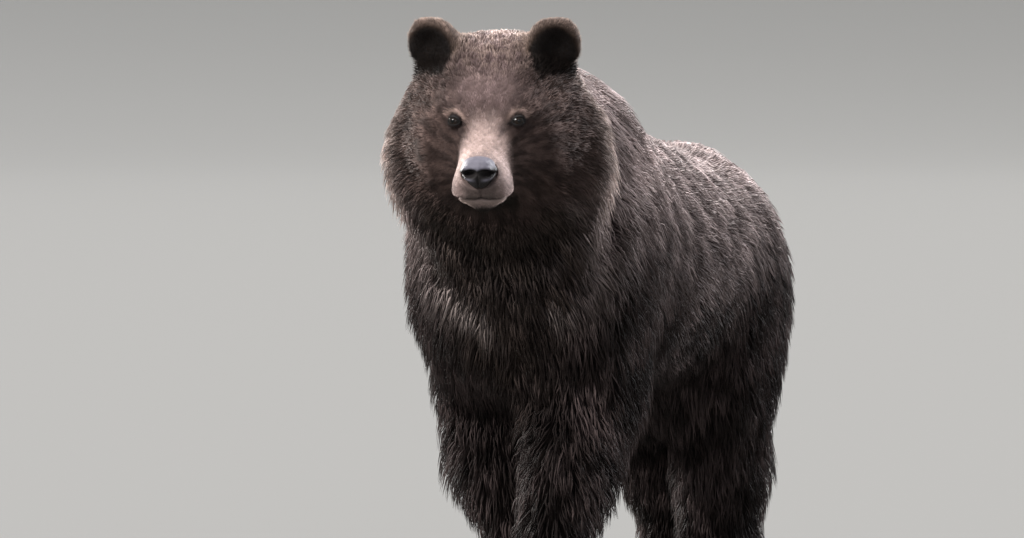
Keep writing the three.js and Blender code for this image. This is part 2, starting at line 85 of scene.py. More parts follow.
# How far apart a layer's tufts stand, their width and length against the usual, and the rings in each.
Layer = namedtuple("Layer", "spacing width length rings")
# A coat's slot, the size of the clumps its tufts gather to and how strongly, and its layers from the skin up.
Coat = namedtuple("Coat", "slot clump gather layers")
COATS = {
    "muzzle": Coat("muzzle_coat", 0.008, 0.25, [Layer(0.0016, 0.9, 1.0, 1)]),
    "face": Coat("face_coat", 0.013, 0.35, [Layer(0.0019, 0.8, 1.0, 1)]),
    "cheeks": Coat("face_coat", 0.022, 0.5, [Layer(0.0025, 0.8, 0.9, 1), Layer(0.0042, 0.9, 1.05, 2)]),
    "ears": Coat("ear_coat", 0.01, 0.3, [Layer(0.0019, 0.9, 1.0, 1)]),
    "neck": Coat("body_coat", 0.034, 0.55, [Layer(0.0042, 0.8, 0.85, 1), Layer(0.0065, 1.0, 1.05, 2)]),
    "trunk": Coat("body_coat", 0.036, 0.55, [Layer(0.0046, 0.85, 0.85, 1), Layer(0.0085, 1.1, 1.1, 2)]),
    "legs": Coat("leg_coat", 0.03, 0.62, [Layer(0.005, 0.8, 0.85, 1), Layer(0.0086, 0.95, 1.15, 2)]),
    "paws": Coat("leg_coat", 0.016, 0.4, [Layer(0.0034, 1.2, 1.0, 1)]),
}
MOST_TRIANGLES = 190000  # in one piece of coat
# How long the hair is on each part but the head, where it changes.
LENGTHS = {"ears": 0.01, "neck": 0.078, "trunk": 0.06, "forelegs": 0.062, "hindlegs": 0.062, "paws": 0.022}


def middle(node):
    low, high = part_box(node)
    return np.array((low + high) / 2)


def unit(vectors):
    length = np.linalg.norm(vectors, axis=-1, keepdims=True)
    return vectors / np.maximum(length, 1e-9)


def distances(points, place):
    return np.linalg.norm(points - place, axis=1)


def ease(low, high, value):
    """From 0 at low to 1 at high, which may be the smaller of the two."""
    t = np.clip((value - low) / (high - low), 0.0, 1.0)
    return t * t * (3 - 2 * t)


def hill(*terms):
    """1 where each value is at its centre, fading over its width. A term is a value, a centre and a width."""
    return np.exp(-sum(((value - centre) / width) ** 2 for value, centre, width in terms))


def mixed(a, b, share):
    """A colour or vector for each share, from a at 0 to b at 1."""
    share = share[:, None]
    return a * (1 - share) + b * share


# ---- the head's own axes

NOSE = middle("nose")
BETWEEN_EYES = (middle("eye_left") + middle("eye_right")) / 2
ACROSS = unit(middle("eye_left") - middle("eye_right"))
LEVEL_BACK = np.cross(UP, ACROSS)
HEAD_BACK = LEVEL_BACK * math.cos(HEAD_PITCH) + UP * math.sin(HEAD_PITCH)
HEAD_UP = UP * math.cos(HEAD_PITCH) - LEVEL_BACK * math.sin(HEAD_PITCH)
HEAD_AXES = np.stack((ACROSS, HEAD_BACK, HEAD_UP), 1)
EYES = {
    side: middle("eye_" + side) + HEAD_UP * EYE_RAISED + ACROSS * sign * EYE_SPREAD
    for side, sign in SIDES.items()
}


def in_head(points):
    """Seen from between the eyes: to the bear's left, to the back of the head, up, and out to either side."""
    x, y, z = ((points - BETWEEN_EYES) @ HEAD_AXES).T
    return x, y, z, np.abs(x)


def from_head(x, y, z):
    return BETWEEN_EYES + HEAD_AXES @ np.array((x, y, z))


# ---- meshes as arrays


def values_of(items, name, width, kind=np.float32):
    """One property of all these vertices, edges, triangles or corners, a row for each."""
    values = np.empty(len(items) * width, kind)
    items.foreach_get(name, values)
    return values.reshape(-1, width)


def points_of(mesh):
    return values_of(mesh.vertices, "co", 3).astype(float)


def triangles_of(mesh):
    mesh.calc_loop_triangles()
    return values_of(mesh.loop_triangles, "vertices", 3, np.int32)


def move_points(mesh, points):
    mesh.vertices.foreach_set("co", points.astype(np.float32).ravel())
    mesh.update()


def vertex_normals(points, triangles):
    a, b, c = (points[triangles[:, k]] for k in range(3))
    face = np.cross(b - a, c - a)
    total = np.stack(
        [np.bincount(triangles.ravel(), np.repeat(face[:, k], 3), len(points)) for k in range(3)], 1
    )
    return unit(total)


class Net:
    """Which points of a mesh are neighbours, so that values can be evened out over it."""

    def __init__(self, mesh):
        ends = values_of(mesh.edges, "vertices", 2, np.int32)
        self.size = len(mesh.vertices)
        self.own = np.concatenate((ends[:, 0], ends[:, 1]))
        self.other = np.concatenate((ends[:, 1], ends[:, 0]))
        self.count = np.maximum(np.bincount(self.own, minlength=self.size), 1)[:, None]

    def mean(self, values):
        """Each point's mean of its neighbours."""
        columns = [np.bincount(self.own, values[self.other, k], self.size) for k in range(values.shape[1])]
        return np.stack(columns, 1) / self.count

    def even(self, values, rounds, share=0.5):
        """The values after some rounds in which each point moves by its share towards its neighbours."""
        flat = values.ndim == 1
        values = values[:, None] if flat else values
        for _ in range(rounds):
            values = values + (self.mean(values) - values) * share
        return values[:, 0] if flat else values

    def fair(self, points, rounds, share):
        """Points evened out without the shape shrinking: each round pulls them in and then out again."""
        for _ in range(rounds):
            points = points + (self.mean(points) - points) * share * 0.55
            points = points - (self.mean(points) - points) * share * 0.57
        return points


def mesh_of(name, points, triangles):
    mesh = bpy.data.meshes.new(name)
    mesh.vertices.add(len(points))
    mesh.vertices.foreach_set("co", np.asarray(points, np.float32).ravel())
    mesh.loops.add(triangles.size)
    mesh.loops.foreach_set("vertex_index", np.asarray(triangles, np.int32).ravel())
    mesh.polygons.add(len(triangles))
    mesh.polygons.foreach_set("loop_start", np.arange(0, triangles.size, 3, dtype=np.int32))
    mesh.update(calc_edges=True)
    return mesh


def piece_of(name, mesh):
    piece = bpy.data.objects.new(name, mesh)
    bpy.context.scene.collection.objects.link(piece)
    return piece


def bear_piece(name, mesh, material):
    """A piece of the still bear, smooth and with its finish."""
    mesh.shade_smooth()
    mesh.materials.append(material)
    piece = piece_of(name, mesh)
    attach(piece, "root")
    return piece


def mesh_from(name, shape):
    """A new mesh of a bmesh, which is freed."""
    mesh = bpy.data.meshes.new(name)
    shape.to_mesh(mesh)
    shape.free()
    return mesh


def number_layer(mesh, name, values):
    layer = mesh.attributes.new(name, "FLOAT", "POINT")
    layer.data.foreach_set("value", np.asarray(values, np.float32))


def colour_layer(mesh, name, colours):
    layer = mesh.attributes.new(name, "FLOAT_COLOR", "POINT")
    rgba = np.ones((len(colours), 4), np.float32)
    rgba[:, :3] = colours
    layer.data.foreach_set("color", rgba.ravel())


def joined_copy(names):
    """One bmesh of these CAD nodes, each with its corners merged."""
    whole = bmesh.new()
    for name in names:
        whole.from_mesh(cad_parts[name].data)
    bmesh.ops.remove_doubles(whole, verts=whole.verts, dist=1e-5)
    return whole


def remeshed(name, shape, voxel):
    """The shape's largest body, with its surface made of even quads."""
    rough = mesh_from(name + "_rough", shape)
    piece = piece_of(name + "_rough", rough)
    modifier = piece.modifiers.new("even", "REMESH")
    modifier.mode = "VOXEL"
    modifier.voxel_size = voxel
    evaluated = piece.evaluated_get(bpy.context.evaluated_depsgraph_get())
    mesh = bpy.data.meshes.new_from_object(evaluated)
    bpy.data.objects.remove(piece)
    bpy.data.meshes.remove(rough)
    keep_largest(mesh)
    return mesh


def keep_largest(mesh):
    """Deletes all but the body with the most points."""
    shape = bmesh.new()
    shape.from_mesh(mesh)
    unseen = set(shape.verts)
    bodies = []
    while unseen:
        body = {unseen.pop()}
        edge = list(body)
        while edge:
            found = {e.other_vert(v) for v in edge for e in v.link_edges} - body
            body |= found
            edge = list(found)
        unseen -= body
        bodies.append(body)
    bodies.sort(key=len)
    for body in bodies[:-1]:
        bmesh.ops.delete(shape, geom=list(body), context="VERTS")
    shape.to_mesh(mesh)
    shape.free()


# ---- which part of the bear a point is on


def nearest_node(points):
    """For each point, which flesh node's surface is nearest, as its place in FLESH."""
    corners, faces, owner = [], [], []
    for number, name in enumerate(FLESH):
        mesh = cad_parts[name].data
        start = len(corners)
        corners.extend(points_of(mesh))
        faces.extend((triangles_of(mesh) + start).tolist())
        owner.extend([number] * (len(faces) - len(owner)))
    tree = BVHTree.FromPolygons([Vector(c) for c in corners], faces)
    return np.array([owner[tree.find_nearest(Vector(p))[2]] for p in points])


def shares_of(points, net):
    """How much each point belongs to each named group of nodes, with soft borders."""
    nearest = nearest_node(points)
    groups = {
        "head": HEAD_NODES,
        "ears": EAR_NODES,
        "neck": ("neck",),
        "trunk": ("trunk", "tail"),
        "forelegs": FORELEGS,
        "hindlegs": HINDLEGS,
        "paws": PAWS,
    }
    shares = {}
    for group, names in groups.items():
        own = np.isin(nearest, [FLESH.index(n) for n in names]).astype(float)
        shares[group] = net.even(own, 10 if group in ("ears", "head") else 30)
    total = sum(shares.values())
    return {group: share / total for group, share in shares.items()}


def claws_of(foot):
    return [f"claw_{foot}_{number}" for number in range(1, CLAWS + 1)]


def claw_roots():
    """Where each claw leaves its toe: the middle of its end nearest to the paw."""
    roots = []
    for foot in FEET:
        centre = middle(foot.replace("_", "paw_"))
        for name in claws_of(foot):
            corners = points_of(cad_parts[name].data)
            order = np.argsort(distances(corners, centre))
            roots.append(corners[order[:ROOT_CORNERS]].mean(0))
    return np.array(roots)


CLAW_ROOTS = claw_roots()


def toe_distances(points):
    """How far each point is from the nearest claw's root, and from the second nearest."""
    away = np.linalg.norm(points[:, None] - CLAW_ROOTS, axis=2)
    return np.sort(away, axis=1)[:, :2].T


def coat_length(points, shares):
    """How long the hair is: shortest on the nose's end of the face, longest on the cheeks and neck."""
    z = in_head(points)[2]
    from_nose = distances(points, NOSE)
    head = np.interp(
        from_nose,
        (0.03, 0.09, 0.15, 0.2, 0.26, 0.32, 0.4),
        (0.004, 0.006, 0.009, 0.016, 0.036, 0.056, 0.07),
    )
    head = head * (1 - 0.45 * ease(0.01, 0.07, z))
    total = shares["head"] * head
    for group, length in LENGTHS.items():
        total = total + shares[group] * length
    above_sole = ease(SOLE_HEIGHT * 0.5, SOLE_HEIGHT * 3, points[:, 2])
    off_toes = ease(0.012, 0.05, toe_distances(points)[0])
    return total * (0.25 + 0.75 * above_sole) * (0.52 + 0.48 * off_toes)


def coat_depth(length, points):
    """How far the tips stand off the skin."""
    lie = np.interp(length, (0.004, 0.01, 0.03, 0.08), (0.45, 0.42, 0.46, 0.52))
    return length * lie * ease(0.002, SOLE_HEIGHT * 2, points[:, 2])


# ---- the skin


def evened_surface(mesh):
    """The faceted flesh made round again: the body's big facets most, and the face's small ones least."""
    net = Net(mesh)
    points = points_of(mesh)
    shares = shares_of(points, net)
    body = shares["trunk"] + shares["neck"] + shares["forelegs"] + shares["hindlegs"]
    from_nose = distances(points, NOSE)
    head = shares["head"] * ease(0.16, 0.26, from_nose)
    share = np.clip(body + 0.45 * shares["paws"] + 0.6 * head, 0.0, 1.0)[:, None]
    points = net.fair(points, 60, share)
    ears = 0.9 * ease(0.2, 0.7, shares["ears"])[:, None]
    points = net.fair(points, 16, np.maximum(np.maximum(0.5, share), ears))
    points[:, 2] = np.maximum(points[:, 2], 0.0)
    return points, net, shares


def sunk_to_skin(mesh):
    """Evens the surface and moves it in by the depth of the coat, a little at a time."""
    points, net, shares = evened_surface(mesh)
    triangles = triangles_of(mesh)
    depth = net.even(coat_depth(coat_length(points, shares), points), 6)
    steps = 12
    for _ in range(steps):
        points = points - vertex_normals(points, triangles) * (depth / steps)[:, None]
        points = net.fair(points, 3, ease(0.004, 0.016, depth)[:, None])
    points[:, 2] = np.maximum(points[:, 2], 0.0)
    move_points(mesh, points)


def refined(mesh, wanted):
    """Cuts in two each edge of the faces whose middle is wanted, and evens the points there."""
    shape = bmesh.new()
    shape.from_mesh(mesh)
    middles = np.array([f.calc_center_median() for f in shape.faces])
    chosen = wanted(middles)
    edges = {e for f, yes in zip(shape.faces, chosen) if yes for e in f.edges}
    bmesh.ops.subdivide_edges(shape, edges=list(edges), cuts=1, use_grid_fill=True)
    shape.to_mesh(mesh)
    shape.free()
    net = Net(mesh)
    points = points_of(mesh)
    near = wanted(points).astype(float)[:, None]
    move_points(mesh, net.even(points, 2, 0.5 * near))


def on_face(points):
    _, y, z, away = in_head(points)
    return (y < 0.075) & (away < 0.12) & (z > -0.16) & (z < 0.09)


def on_features(points):
    _, y, z, away = in_head(points)
    return (y < 0.035) & (away < 0.085) & (z > -0.135) & (z < 0.035)


def near_eyes(points):
    return np.minimum(*(distances(points, EYES[side]) for side in SIDES)) < 0.027


def on_ears(points):
    _, y, z, away = in_head(points)
    return (away > 0.05) & (z > 0.06) & (np.abs(y - 0.136) < 0.09)


def on_toes(points):
    return toe_distances(points)[0] < 0.034


def eye_axes(side):
    """The eye's own axes: towards the outer corner, up, and out along its gaze."""
    sign = SIDES[side]
    gaze = unit(-HEAD_BACK + ACROSS * sign * 0.4 + HEAD_UP * 0.34)
    outer = unit(ACROSS * sign - gaze * (gaze @ ACROSS) * sign)
    raised = np.cross(gaze, outer) if sign > 0 else np.cross(outer, gaze)
    raised = raised if raised @ HEAD_UP > 0 else -raised
    outer = unit(outer * 0.97 + raised * 0.16)
    raised = unit(raised - outer * (outer @ raised))
    return np.stack((outer, raised, gaze), 1)


def beyond_lids(points, side):
    """How far each point is outside the opening between the lids, from the eye's middle, and out along it."""
    across, up, out = ((points - EYES[side]) @ eye_axes(side)).T
    radius = np.maximum(np.sqrt(across**2 + up**2 + out**2), 1e-6)
    across_ball = across / radius * EYE_RADIUS
    up_ball = up / radius * EYE_RADIUS
    reach = np.clip(1 - (across_ball / LID_WIDTH) ** 2, 0.0, 1.0)
    edge = np.where(up_ball > 0, UPPER_LID, LOWER_LID) * np.sqrt(reach)
    past_corner = np.maximum(np.abs(across_ball) - LID_WIDTH, 0.0)
    beyond = np.where(reach > 0, np.abs(up_ball) - edge, np.hypot(past_corner, up_ball))
    sideways = np.hypot(across, up)
    beyond = np.where(out > 0, np.maximum(beyond, sideways - LID_WIDTH * 1.25), 0.03)
    return beyond, radius, out


def with_lids(points):
    """Draws the skin over each eyeball as lids, and down behind it inside their opening."""
    for side in SIDES:
        beyond, radius, out = beyond_lids(points, side)
        lid = EYE_RADIUS + LID_THICKNESS + 0.0006 * hill((beyond, 0.0014, 0.0012))
        target = np.where(beyond < 0, EYE_RADIUS * 0.72, lid)
        hold = (1 - ease(0.004, 0.013, beyond)) * (out > -0.004)
        moved = radius + (target - radius) * hold
        points = EYES[side] + (points - EYES[side]) * (moved / radius)[:, None]
    return points


def mouth_line(x, y):
    """How high the lips meet, seen from between the eyes: a little lower towards the corners."""
    return -0.104 - 0.09 * np.clip(y + 0.1, 0, 0.2) + 0.0025 * hill((x, 0, 0.008)) * (y < -0.09)


def with_mouth(points, normals):
    """The lips' line round the muzzle, and the groove from it up to the nose."""
    x, y, z, away = in_head(points)
    line = mouth_line(x, y)
    front = ease(-0.004, -0.03, y)
    muzzle = ease(0.07, 0.05, away)
    groove = hill((z, line, 0.0028)) * front * muzzle
    upper_lip = hill((z - line, 0.008, 0.006)) * front * muzzle
    lower_lip = hill((z - line, -0.007, 0.005)) * front * muzzle
    middle_groove = hill((x, 0, 0.0022)) * ease(-0.115, -0.13, y) * (z > line) * (z < -0.06)
    change = 0.0022 * upper_lip + 0.0014 * lower_lip - 0.0058 * groove - 0.003 * middle_groove
    return points + normals * change[:, None]


def with_nose_bed(points):
    """Hollows the skin behind the nose pad, so that only the pad shows there."""
    low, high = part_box("nose")
    half = (np.array(high) - np.array(low)) / 2
    x, y, z = ((points - NOSE) @ HEAD_AXES).T
    reach = np.sqrt((x / half[0]) ** 2 + (y / half[1]) ** 2 + (z / half[2]) ** 2)
    inner = ease(1.15, 0.8, reach) * ease(0.02, -0.004, y)
    return points + HEAD_BACK * (0.03 * inner)[:, None]


def with_brows(points, normals):
    """The brow above each eye, the hollows round the eye, and the furrow between the brows."""
    x, y, z, away = in_head(points)
    front = ease(0.06, 0.02, y)
    brow = hill((away, 0.05, 0.02), (z, 0.02, 0.009))
    tear = hill((away, 0.034, 0.009), (z, -0.01, 0.01))
    under = hill((away, 0.056, 0.022), (z, -0.022, 0.007))
    furrow = hill((x, 0, 0.01)) * ease(-0.02, 0.01, z) * ease(0.1, 0.05, z)
    beside = hill((away, 0.062, 0.014), (z, -0.045, 0.022)) * ease(0.04, 0.0, y)
    change = (0.0065 * brow - 0.006 * tear - 0.002 * under) * front - 0.002 * furrow - 0.006 * beside
    return points + normals * change[:, None]


def with_ruff(points, normals):
    """The long hair behind the cheeks stands up as a ruff, with a dip behind it, and the crown is flat."""
    x, y, z, away = in_head(points)
    beside = ease(0.1, 0.16, away) * ease(0.085, 0.04, z) * ease(-0.32, -0.22, z)
    edge = hill((y, 0.15, 0.03))
    dip = hill((y, 0.222, 0.028))
    change = (0.002 * edge - 0.016 * dip) * beside
    top = ease(0.045, 0.075, z) * ease(0.02, 0.07, y) * ease(0.24, 0.17, y)
    corner = hill((away, 0.062, 0.024))
    centre = hill((x, 0, 0.03))
    change = change + (0.009 * corner - 0.002 * centre) * top
    under_ear = hill((away, 0.13, 0.016), (z, 0.062, 0.018)) * ease(0.16, 0.12, y)
    tall = ease(0.085, 0.14, z) * ease(0.06, 0.085, away)
    points = points + normals * (change - 0.006 * under_ear)[:, None]
    return points + HEAD_UP * (0.005 * tall)[:, None]


def with_toes(points, normals):
    """A round toe behind each claw, and the grooves between the toes."""
    near, second = toe_distances(points)
    bulge = 0.006 * hill((near, 0, 0.018))
    groove = 0.0075 * hill((second, near, 0.006)) * hill((near, 0, 0.036))
    change = (bulge - groove) * ease(0.002, 0.014, points[:, 2])
    points = points + normals * change[:, None]
    points[:, 2] = np.maximum(points[:, 2], 0.0)
    return points


def make_skin():
    """The flesh as one even surface under the coat, finer where there is more to shape."""
    mesh = remeshed("skin", joined_copy((*FLESH, "nose", "eye_left", "eye_right")), SKIN_VOXEL)
    sunk_to_skin(mesh)
    for wanted in (on_face, on_ears, on_toes, on_toes, on_features, near_eyes, near_eyes):
        refined(mesh, wanted)
    shape = bmesh.new()
    shape.from_mesh(mesh)
    bmesh.ops.triangulate(shape, faces=shape.faces)
    shape.to_mesh(mesh)
    shape.free()
    points = points_of(mesh)
    triangles = triangles_of(mesh)
    for sculpted in (with_toes, with_ruff, with_brows, with_mouth):
        points = sculpted(points, vertex_normals(points, triangles))
    move_points(mesh, with_lids(with_nose_bed(points)))
    return mesh


# ---- markings and lie of the coat


def mottle(points, size, seed):
    """A soft pattern from 0 to 1 whose patches are about this size."""
    rng = np.random.default_rng(seed)
    total = np.zeros(len(points))
    for _ in range(10):
        wave = unit(rng.normal(size=3)) * rng.uniform(0.7, 1.5) * math.pi / size
        total += np.sin(points @ wave + rng.uniform(0, 2 * math.pi))
    return 0.5 + 0.5 * np.tanh(total / 2.4)


class Hair:
    """The hair at each point of the skin: its colours at root and tip, with one marking laid over another."""

    def __init__(self, points, normals, shares):
        self.points = points
        self.normals = normals
        self.shares = shares
        self.from_nose = distances(points, NOSE)
        self.fine = mottle(points, 0.013, 5)
        self.root = self.tip = np.zeros(points.shape)

    def lay(self, where, root, tip, on_root=1, on_tip=1):
        """Mixes these colours in, by where the marking is and by a share of its own for each."""
        self.root = mixed(self.root, root, where * on_root)
        self.tip = mixed(self.tip, tip, where * on_tip)


def colour_body(hair):
    """Nearly black on the legs, with painted shade under the belly, and grizzled in clumps with pale tips
    towards the back, made paler with height partly as painted light from above and behind.
    """
    points, shares, height = hair.points, hair.shares, hair.points[:, 2]
    clumps = mottle(points * (1, 0.48, 0.48), 0.021, 3)
    patches = ease(0.22, 0.78, 0.65 * clumps + 0.35 * mottle(points, 0.08, 4))
    # Tips grow paler with height: partly the coat's own grizzling, partly painted light from above and
    # behind.
    high = ease(0.46, 0.92, height)
    grizzle_and_painted_light = (0.04 + 0.96 * high**1.3) * (0.12 + 0.88 * patches)
    hair.root = mixed((0.012, 0.009, 0.008), (0.1, 0.078, 0.072), high**2)
    hair.tip = mixed((0.05, 0.038, 0.035), (0.6, 0.528, 0.502), grizzle_and_painted_light)
    legs = np.clip(shares["forelegs"] + shares["hindlegs"] + shares["paws"], 0, 1)
    legs = legs * ease(0.86, 0.58, height)
    # Painted shade: coat on the trunk that faces down, low on the body, is darkened as the shade under the
    # belly.
    under = shares["trunk"] * ease(0.1, -0.35, hair.normals[:, 2]) * ease(0.75, 0.55, height)
    tip = mixed((0.028, 0.021, 0.019), (0.125, 0.098, 0.092), patches**2)
    hair.lay(np.maximum(legs, under), (0.006, 0.0045, 0.004), tip)


def colour_throat(hair):
    """The throat and chest are dark brown, with the pale traces of a cub's collar low on the chest."""
    points, shares = hair.points, hair.shares
    _, y, z, away = in_head(points)
    front = np.clip(shares["neck"] + shares["trunk"] + shares["head"], 0, 1) * ease(0.26, 0.08, y)
    under = ease(-0.085, -0.15, z + 0.25 * away) * ease(0.17, 0.1, away)
    tip = mixed((0.022, 0.016, 0.013), (0.09, 0.07, 0.056), mottle(points, 0.03, 7))
    hair.lay(front * under, (0.004, 0.003, 0.0024), tip)
    side, back, height = points.T
    long_mark = hill((side, -0.078, 0.036), (height + 0.8 * (side + 0.07), 0.676, 0.017))
    short_mark = hill((side, 0.068, 0.018), (height, 0.677, 0.01))
    collar = (long_mark * 1.2 + short_mark * 0.6) * (back < -0.4)
    collar = np.clip(collar * (0.55 + 0.75 * mottle(points, 0.016, 8)), 0, 1)
    hair.lay(collar, (0.26, 0.225, 0.2), (0.64, 0.58, 0.54), 0.8, 0.9)


def colour_cheeks(hair):
    """Brown cheeks, streaked outwards from the muzzle, and a ruff whose pale tips carry a painted rim light,
    with painted shade in the dip behind it.
    """
    x, y, z, away = in_head(hair.points)
    head, fine = hair.shares["head"], hair.fine
    throat = ease(-0.11, -0.15, z + 0.3 * away)
    turn = np.arctan2(z + 0.06, x)
    spread = np.stack((turn * 0.1, np.hypot(x, z + 0.06) * 0.16, y * 0.16), 1)
    rays = ease(0.15, 0.85, mottle(spread, 0.0055, 21))
    tip = mixed((0.032, 0.023, 0.019), (0.172, 0.128, 0.112), 0.5 * fine + 0.5 * rays)
    hair.lay(head * (1 - throat), (0.028, 0.019, 0.015), tip, 0.9)
    around = np.clip(head + hair.shares["neck"], 0, 1) * (1 - 0.7 * throat)
    # Painted rim light: the ruff's pale tips are made very pale here, as if lit by the lamps behind.
    rim = around * hill((y, 0.152, 0.025)) * ease(0.125, 0.18, away)
    hair.lay(rim, (0.33, 0.275, 0.24), (0.83, 0.74, 0.67), 0.85, 0.75 + 0.2 * fine)
    # Painted shade: the hair in the dip behind the ruff is darkened, as shade falling into it.
    behind = around * hill((y, 0.222, 0.026)) * ease(0.1, 0.15, away) * (z < 0.06)
    hair.lay(behind, (0.008, 0.006, 0.005), (0.04, 0.032, 0.028), 0.8, 0.7)
    root = mixed((0.028, 0.019, 0.016), (0.062, 0.043, 0.036), rays)
    tip = mixed((0.029, 0.021, 0.018), (0.16, 0.117, 0.102), 0.4 * fine + 0.6 * rays)
    hair.lay(head * ease(0.28, 0.17, hair.from_nose), root, tip, 0.9)


def colour_forehead(hair):
    """A paler forehead with fine streaks, pale hair on the crown that is partly painted light from above and
    behind, and darker temples.
    """
    _, _, z, away = in_head(hair.points)
    head, fine = hair.shares["head"], hair.fine
    streaks = 0.5 * mottle(hair.points @ HEAD_AXES * (1, 0.3, 0.35), 0.0045, 9) + 0.5 * fine
    tip = mixed((0.165, 0.125, 0.12), (0.33, 0.262, 0.254), streaks)
    hair.lay(head * ease(-0.01, 0.055, z) * ease(0.095, 0.015, away), (0.095, 0.068, 0.062), tip)
    # Pale crown tips: partly the coat's own colour, partly painted light from above and behind.
    crown = head * ease(0.055, 0.095, z)
    hair.tip = mixed(hair.tip, (0.46, 0.37, 0.31), crown * ease(0.15, 0.85, fine))
    temple = head * hill((away, 0.085, 0.026), (z, 0.066, 0.022))
    hair.lay(temple, (0.022, 0.015, 0.013), (0.085, 0.062, 0.054), 0.7, 0.45 + 0.35 * fine)


def colour_round_eye(hair, side):
    """A pale arc above the eye, black skin and hair close round it, and a dark hollow below."""
    head = hair.shares["head"]
    outer, up, out = ((hair.points - EYES[side]) @ eye_axes(side)).T
    front = out > -0.02
    arc = head * hill((np.hypot(outer, up), 0.0185, 0.0036)) * ease(0.0, 0.009, up) * front
    hair.lay(arc * (1 - 0.3 * hair.fine), (0.34, 0.26, 0.215), (0.56, 0.44, 0.38), 0.8, 0.85)
    tear = ease(1.3, 0.6, np.hypot((outer + 0.015) / 0.007, (up + 0.003) / 0.004))
    socket = np.maximum(ease(0.0165, 0.012, np.hypot(outer, up * 1.2)), tear)
    hair.lay(head * socket * (out > 0), (0.007, 0.005, 0.005), (0.012, 0.009, 0.008))
    hollow = head * hill((outer, -0.004, 0.02), (up, -0.016, 0.01)) * front
    hair.lay(hollow, (0.03, 0.02, 0.018), (0.06, 0.043, 0.038), 0.6, 0.6)


def colour_muzzle(hair):
    """A tan bridge with fine specks, grey sides, dark below the nose, pale lips, and painted shadow under the
    lower lip.
    """
    x, y, z, away = in_head(hair.points)
    head = hair.shares["head"]
    width = np.interp(-y, (-0.01, 0.0, 0.03, 0.06, 0.11), (0.018, 0.024, 0.039, 0.049, 0.056))
    across = ease(width + 0.013, width - 0.013, away)
    bridge = head * across * ease(0.05, 0.005, y) * ease(0.034, 0.004, z)
    bridge = bridge * (0.3 + 0.7 * ease(0.012, -0.05, y)) * ease(-0.124, -0.11, z)
    bridge = bridge * (1 - 0.34 * ease(0.6, 0.85, mottle(hair.points, 0.0042, 12)))
    hair.lay(bridge, (0.385, 0.303, 0.266), (0.64, 0.553, 0.515), 0.9, 0.92)
    flank = head * ease(-0.055, -0.095, y) * ease(-0.055, -0.085, z)
    flank = flank * ease(0.064, 0.044, away)
    hair.lay(flank, (0.15, 0.118, 0.108), (0.33, 0.268, 0.25), 0.7, 0.7)
    line = mouth_line(x, y)
    below_nose = head * ease(0.042, 0.018, away) * ease(-0.06, -0.085, y) * (z > line)
    below_nose = below_nose * ease(-0.06, -0.078, z)
    hair.lay(below_nose, (0.05, 0.042, 0.036), (0.105, 0.09, 0.078), 0.85, 0.85)
    lip = head * ease(-0.055, -0.08, y) * hill((z - line, -0.0095, 0.0075))
    lip = lip * (0.65 + 0.35 * ease(0.005, 0.025, away))
    hair.lay(lip, (0.3, 0.25, 0.215), (0.52, 0.44, 0.39), 0.85, 0.9)
    # Painted shadow: the hair below the lower lip is made nearly black, as the shade under the lip.
    shadow_under_lip = head * ease(-0.016, -0.024, z - line) * ease(0.058, 0.042, away)
    shadow_under_lip = shadow_under_lip * ease(0.13, 0.09, y) * ease(-0.178, -0.15, z)
    hair.lay(shadow_under_lip, (0.01, 0.008, 0.006), (0.022, 0.017, 0.012))
    round_nose = ease(0.052, 0.036, hair.from_nose)
    hair.root = mixed(hair.root, (0.12, 0.094, 0.085), round_nose * 0.6)


def colour_ears(hair):
    """Brown ears with a pale rim of hair along their top edge, partly painted rim light, and a nearly black
    hollow that reaches down their outer side.
    """
    _, y, z, away = in_head(hair.points)
    ears = np.clip(hair.shares["ears"] * 1.4, 0, 1)
    tip = mixed((0.125, 0.088, 0.064), (0.05, 0.034, 0.026), ease(0.15, 0.18, y))
    hair.lay(ears, (0.026, 0.017, 0.012), tip)
    hollow = 1.0 - np.hypot((away - 0.112) / 0.041, (z - 0.096) / 0.045)
    lower = 1.0 - np.hypot((away - 0.13) / 0.018, (z - 0.066) / 0.028)
    inside = ease(-0.1, 0.12, np.maximum(hollow, lower)) * ease(0.185, 0.165, y)
    inside = inside * ease(-0.1, 0.3, hair.normals @ -HEAD_BACK)
    # The pale rim on the ears' top edge: partly pale hair, partly painted rim light from the lamps behind.
    rim = ears * ease(0.0, -0.16, hollow) * ease(0.08, 0.105, z)
    hair.lay(rim, (0.07, 0.052, 0.042), (0.3, 0.24, 0.2), 0.7, 0.8)
    hair.lay(inside, (0.004, 0.0025, 0.002), (0.009, 0.006, 0.004))


def bare_places(points, shares):
    """The lids' rims and the lips, which have no hair."""
    x, y, z, away = in_head(points)
    bare = np.zeros(len(points))
    for side in SIDES:
        beyond, _, _ = beyond_lids(points, side)
        bare = np.maximum(bare, ease(0.003, 0.0012, beyond))
    mouth = hill((z, mouth_line(x, y), 0.0026)) * ease(-0.004, -0.03, y)
    return np.maximum(bare, mouth * (away < 0.07) * shares["head"])


def colours_of(points, normals, shares):
    """The coat's colour at its roots and at its tips, and where it is bare."""
    hair = Hair(points, normals, shares)
    colour_body(hair)
    colour_throat(hair)
    colour_cheeks(hair)
    colour_forehead(hair)
    for side in SIDES:
        colour_round_eye(hair, side)
    colour_muzzle(hair)
    colour_ears(hair)
    hair.root, hair.tip = hair.root * ROSY, hair.tip * ROSY
    bare = bare_places(points, shares)
    hair.lay(bare, (0.006, 0.005, 0.005), (0.01, 0.008, 0.008))
    sole = ease(SOLE_HEIGHT, SOLE_HEIGHT * 0.4, points[:, 2])
    return mixed(hair.root, (0.016, 0.013, 0.012), sole), hair.tip, bare


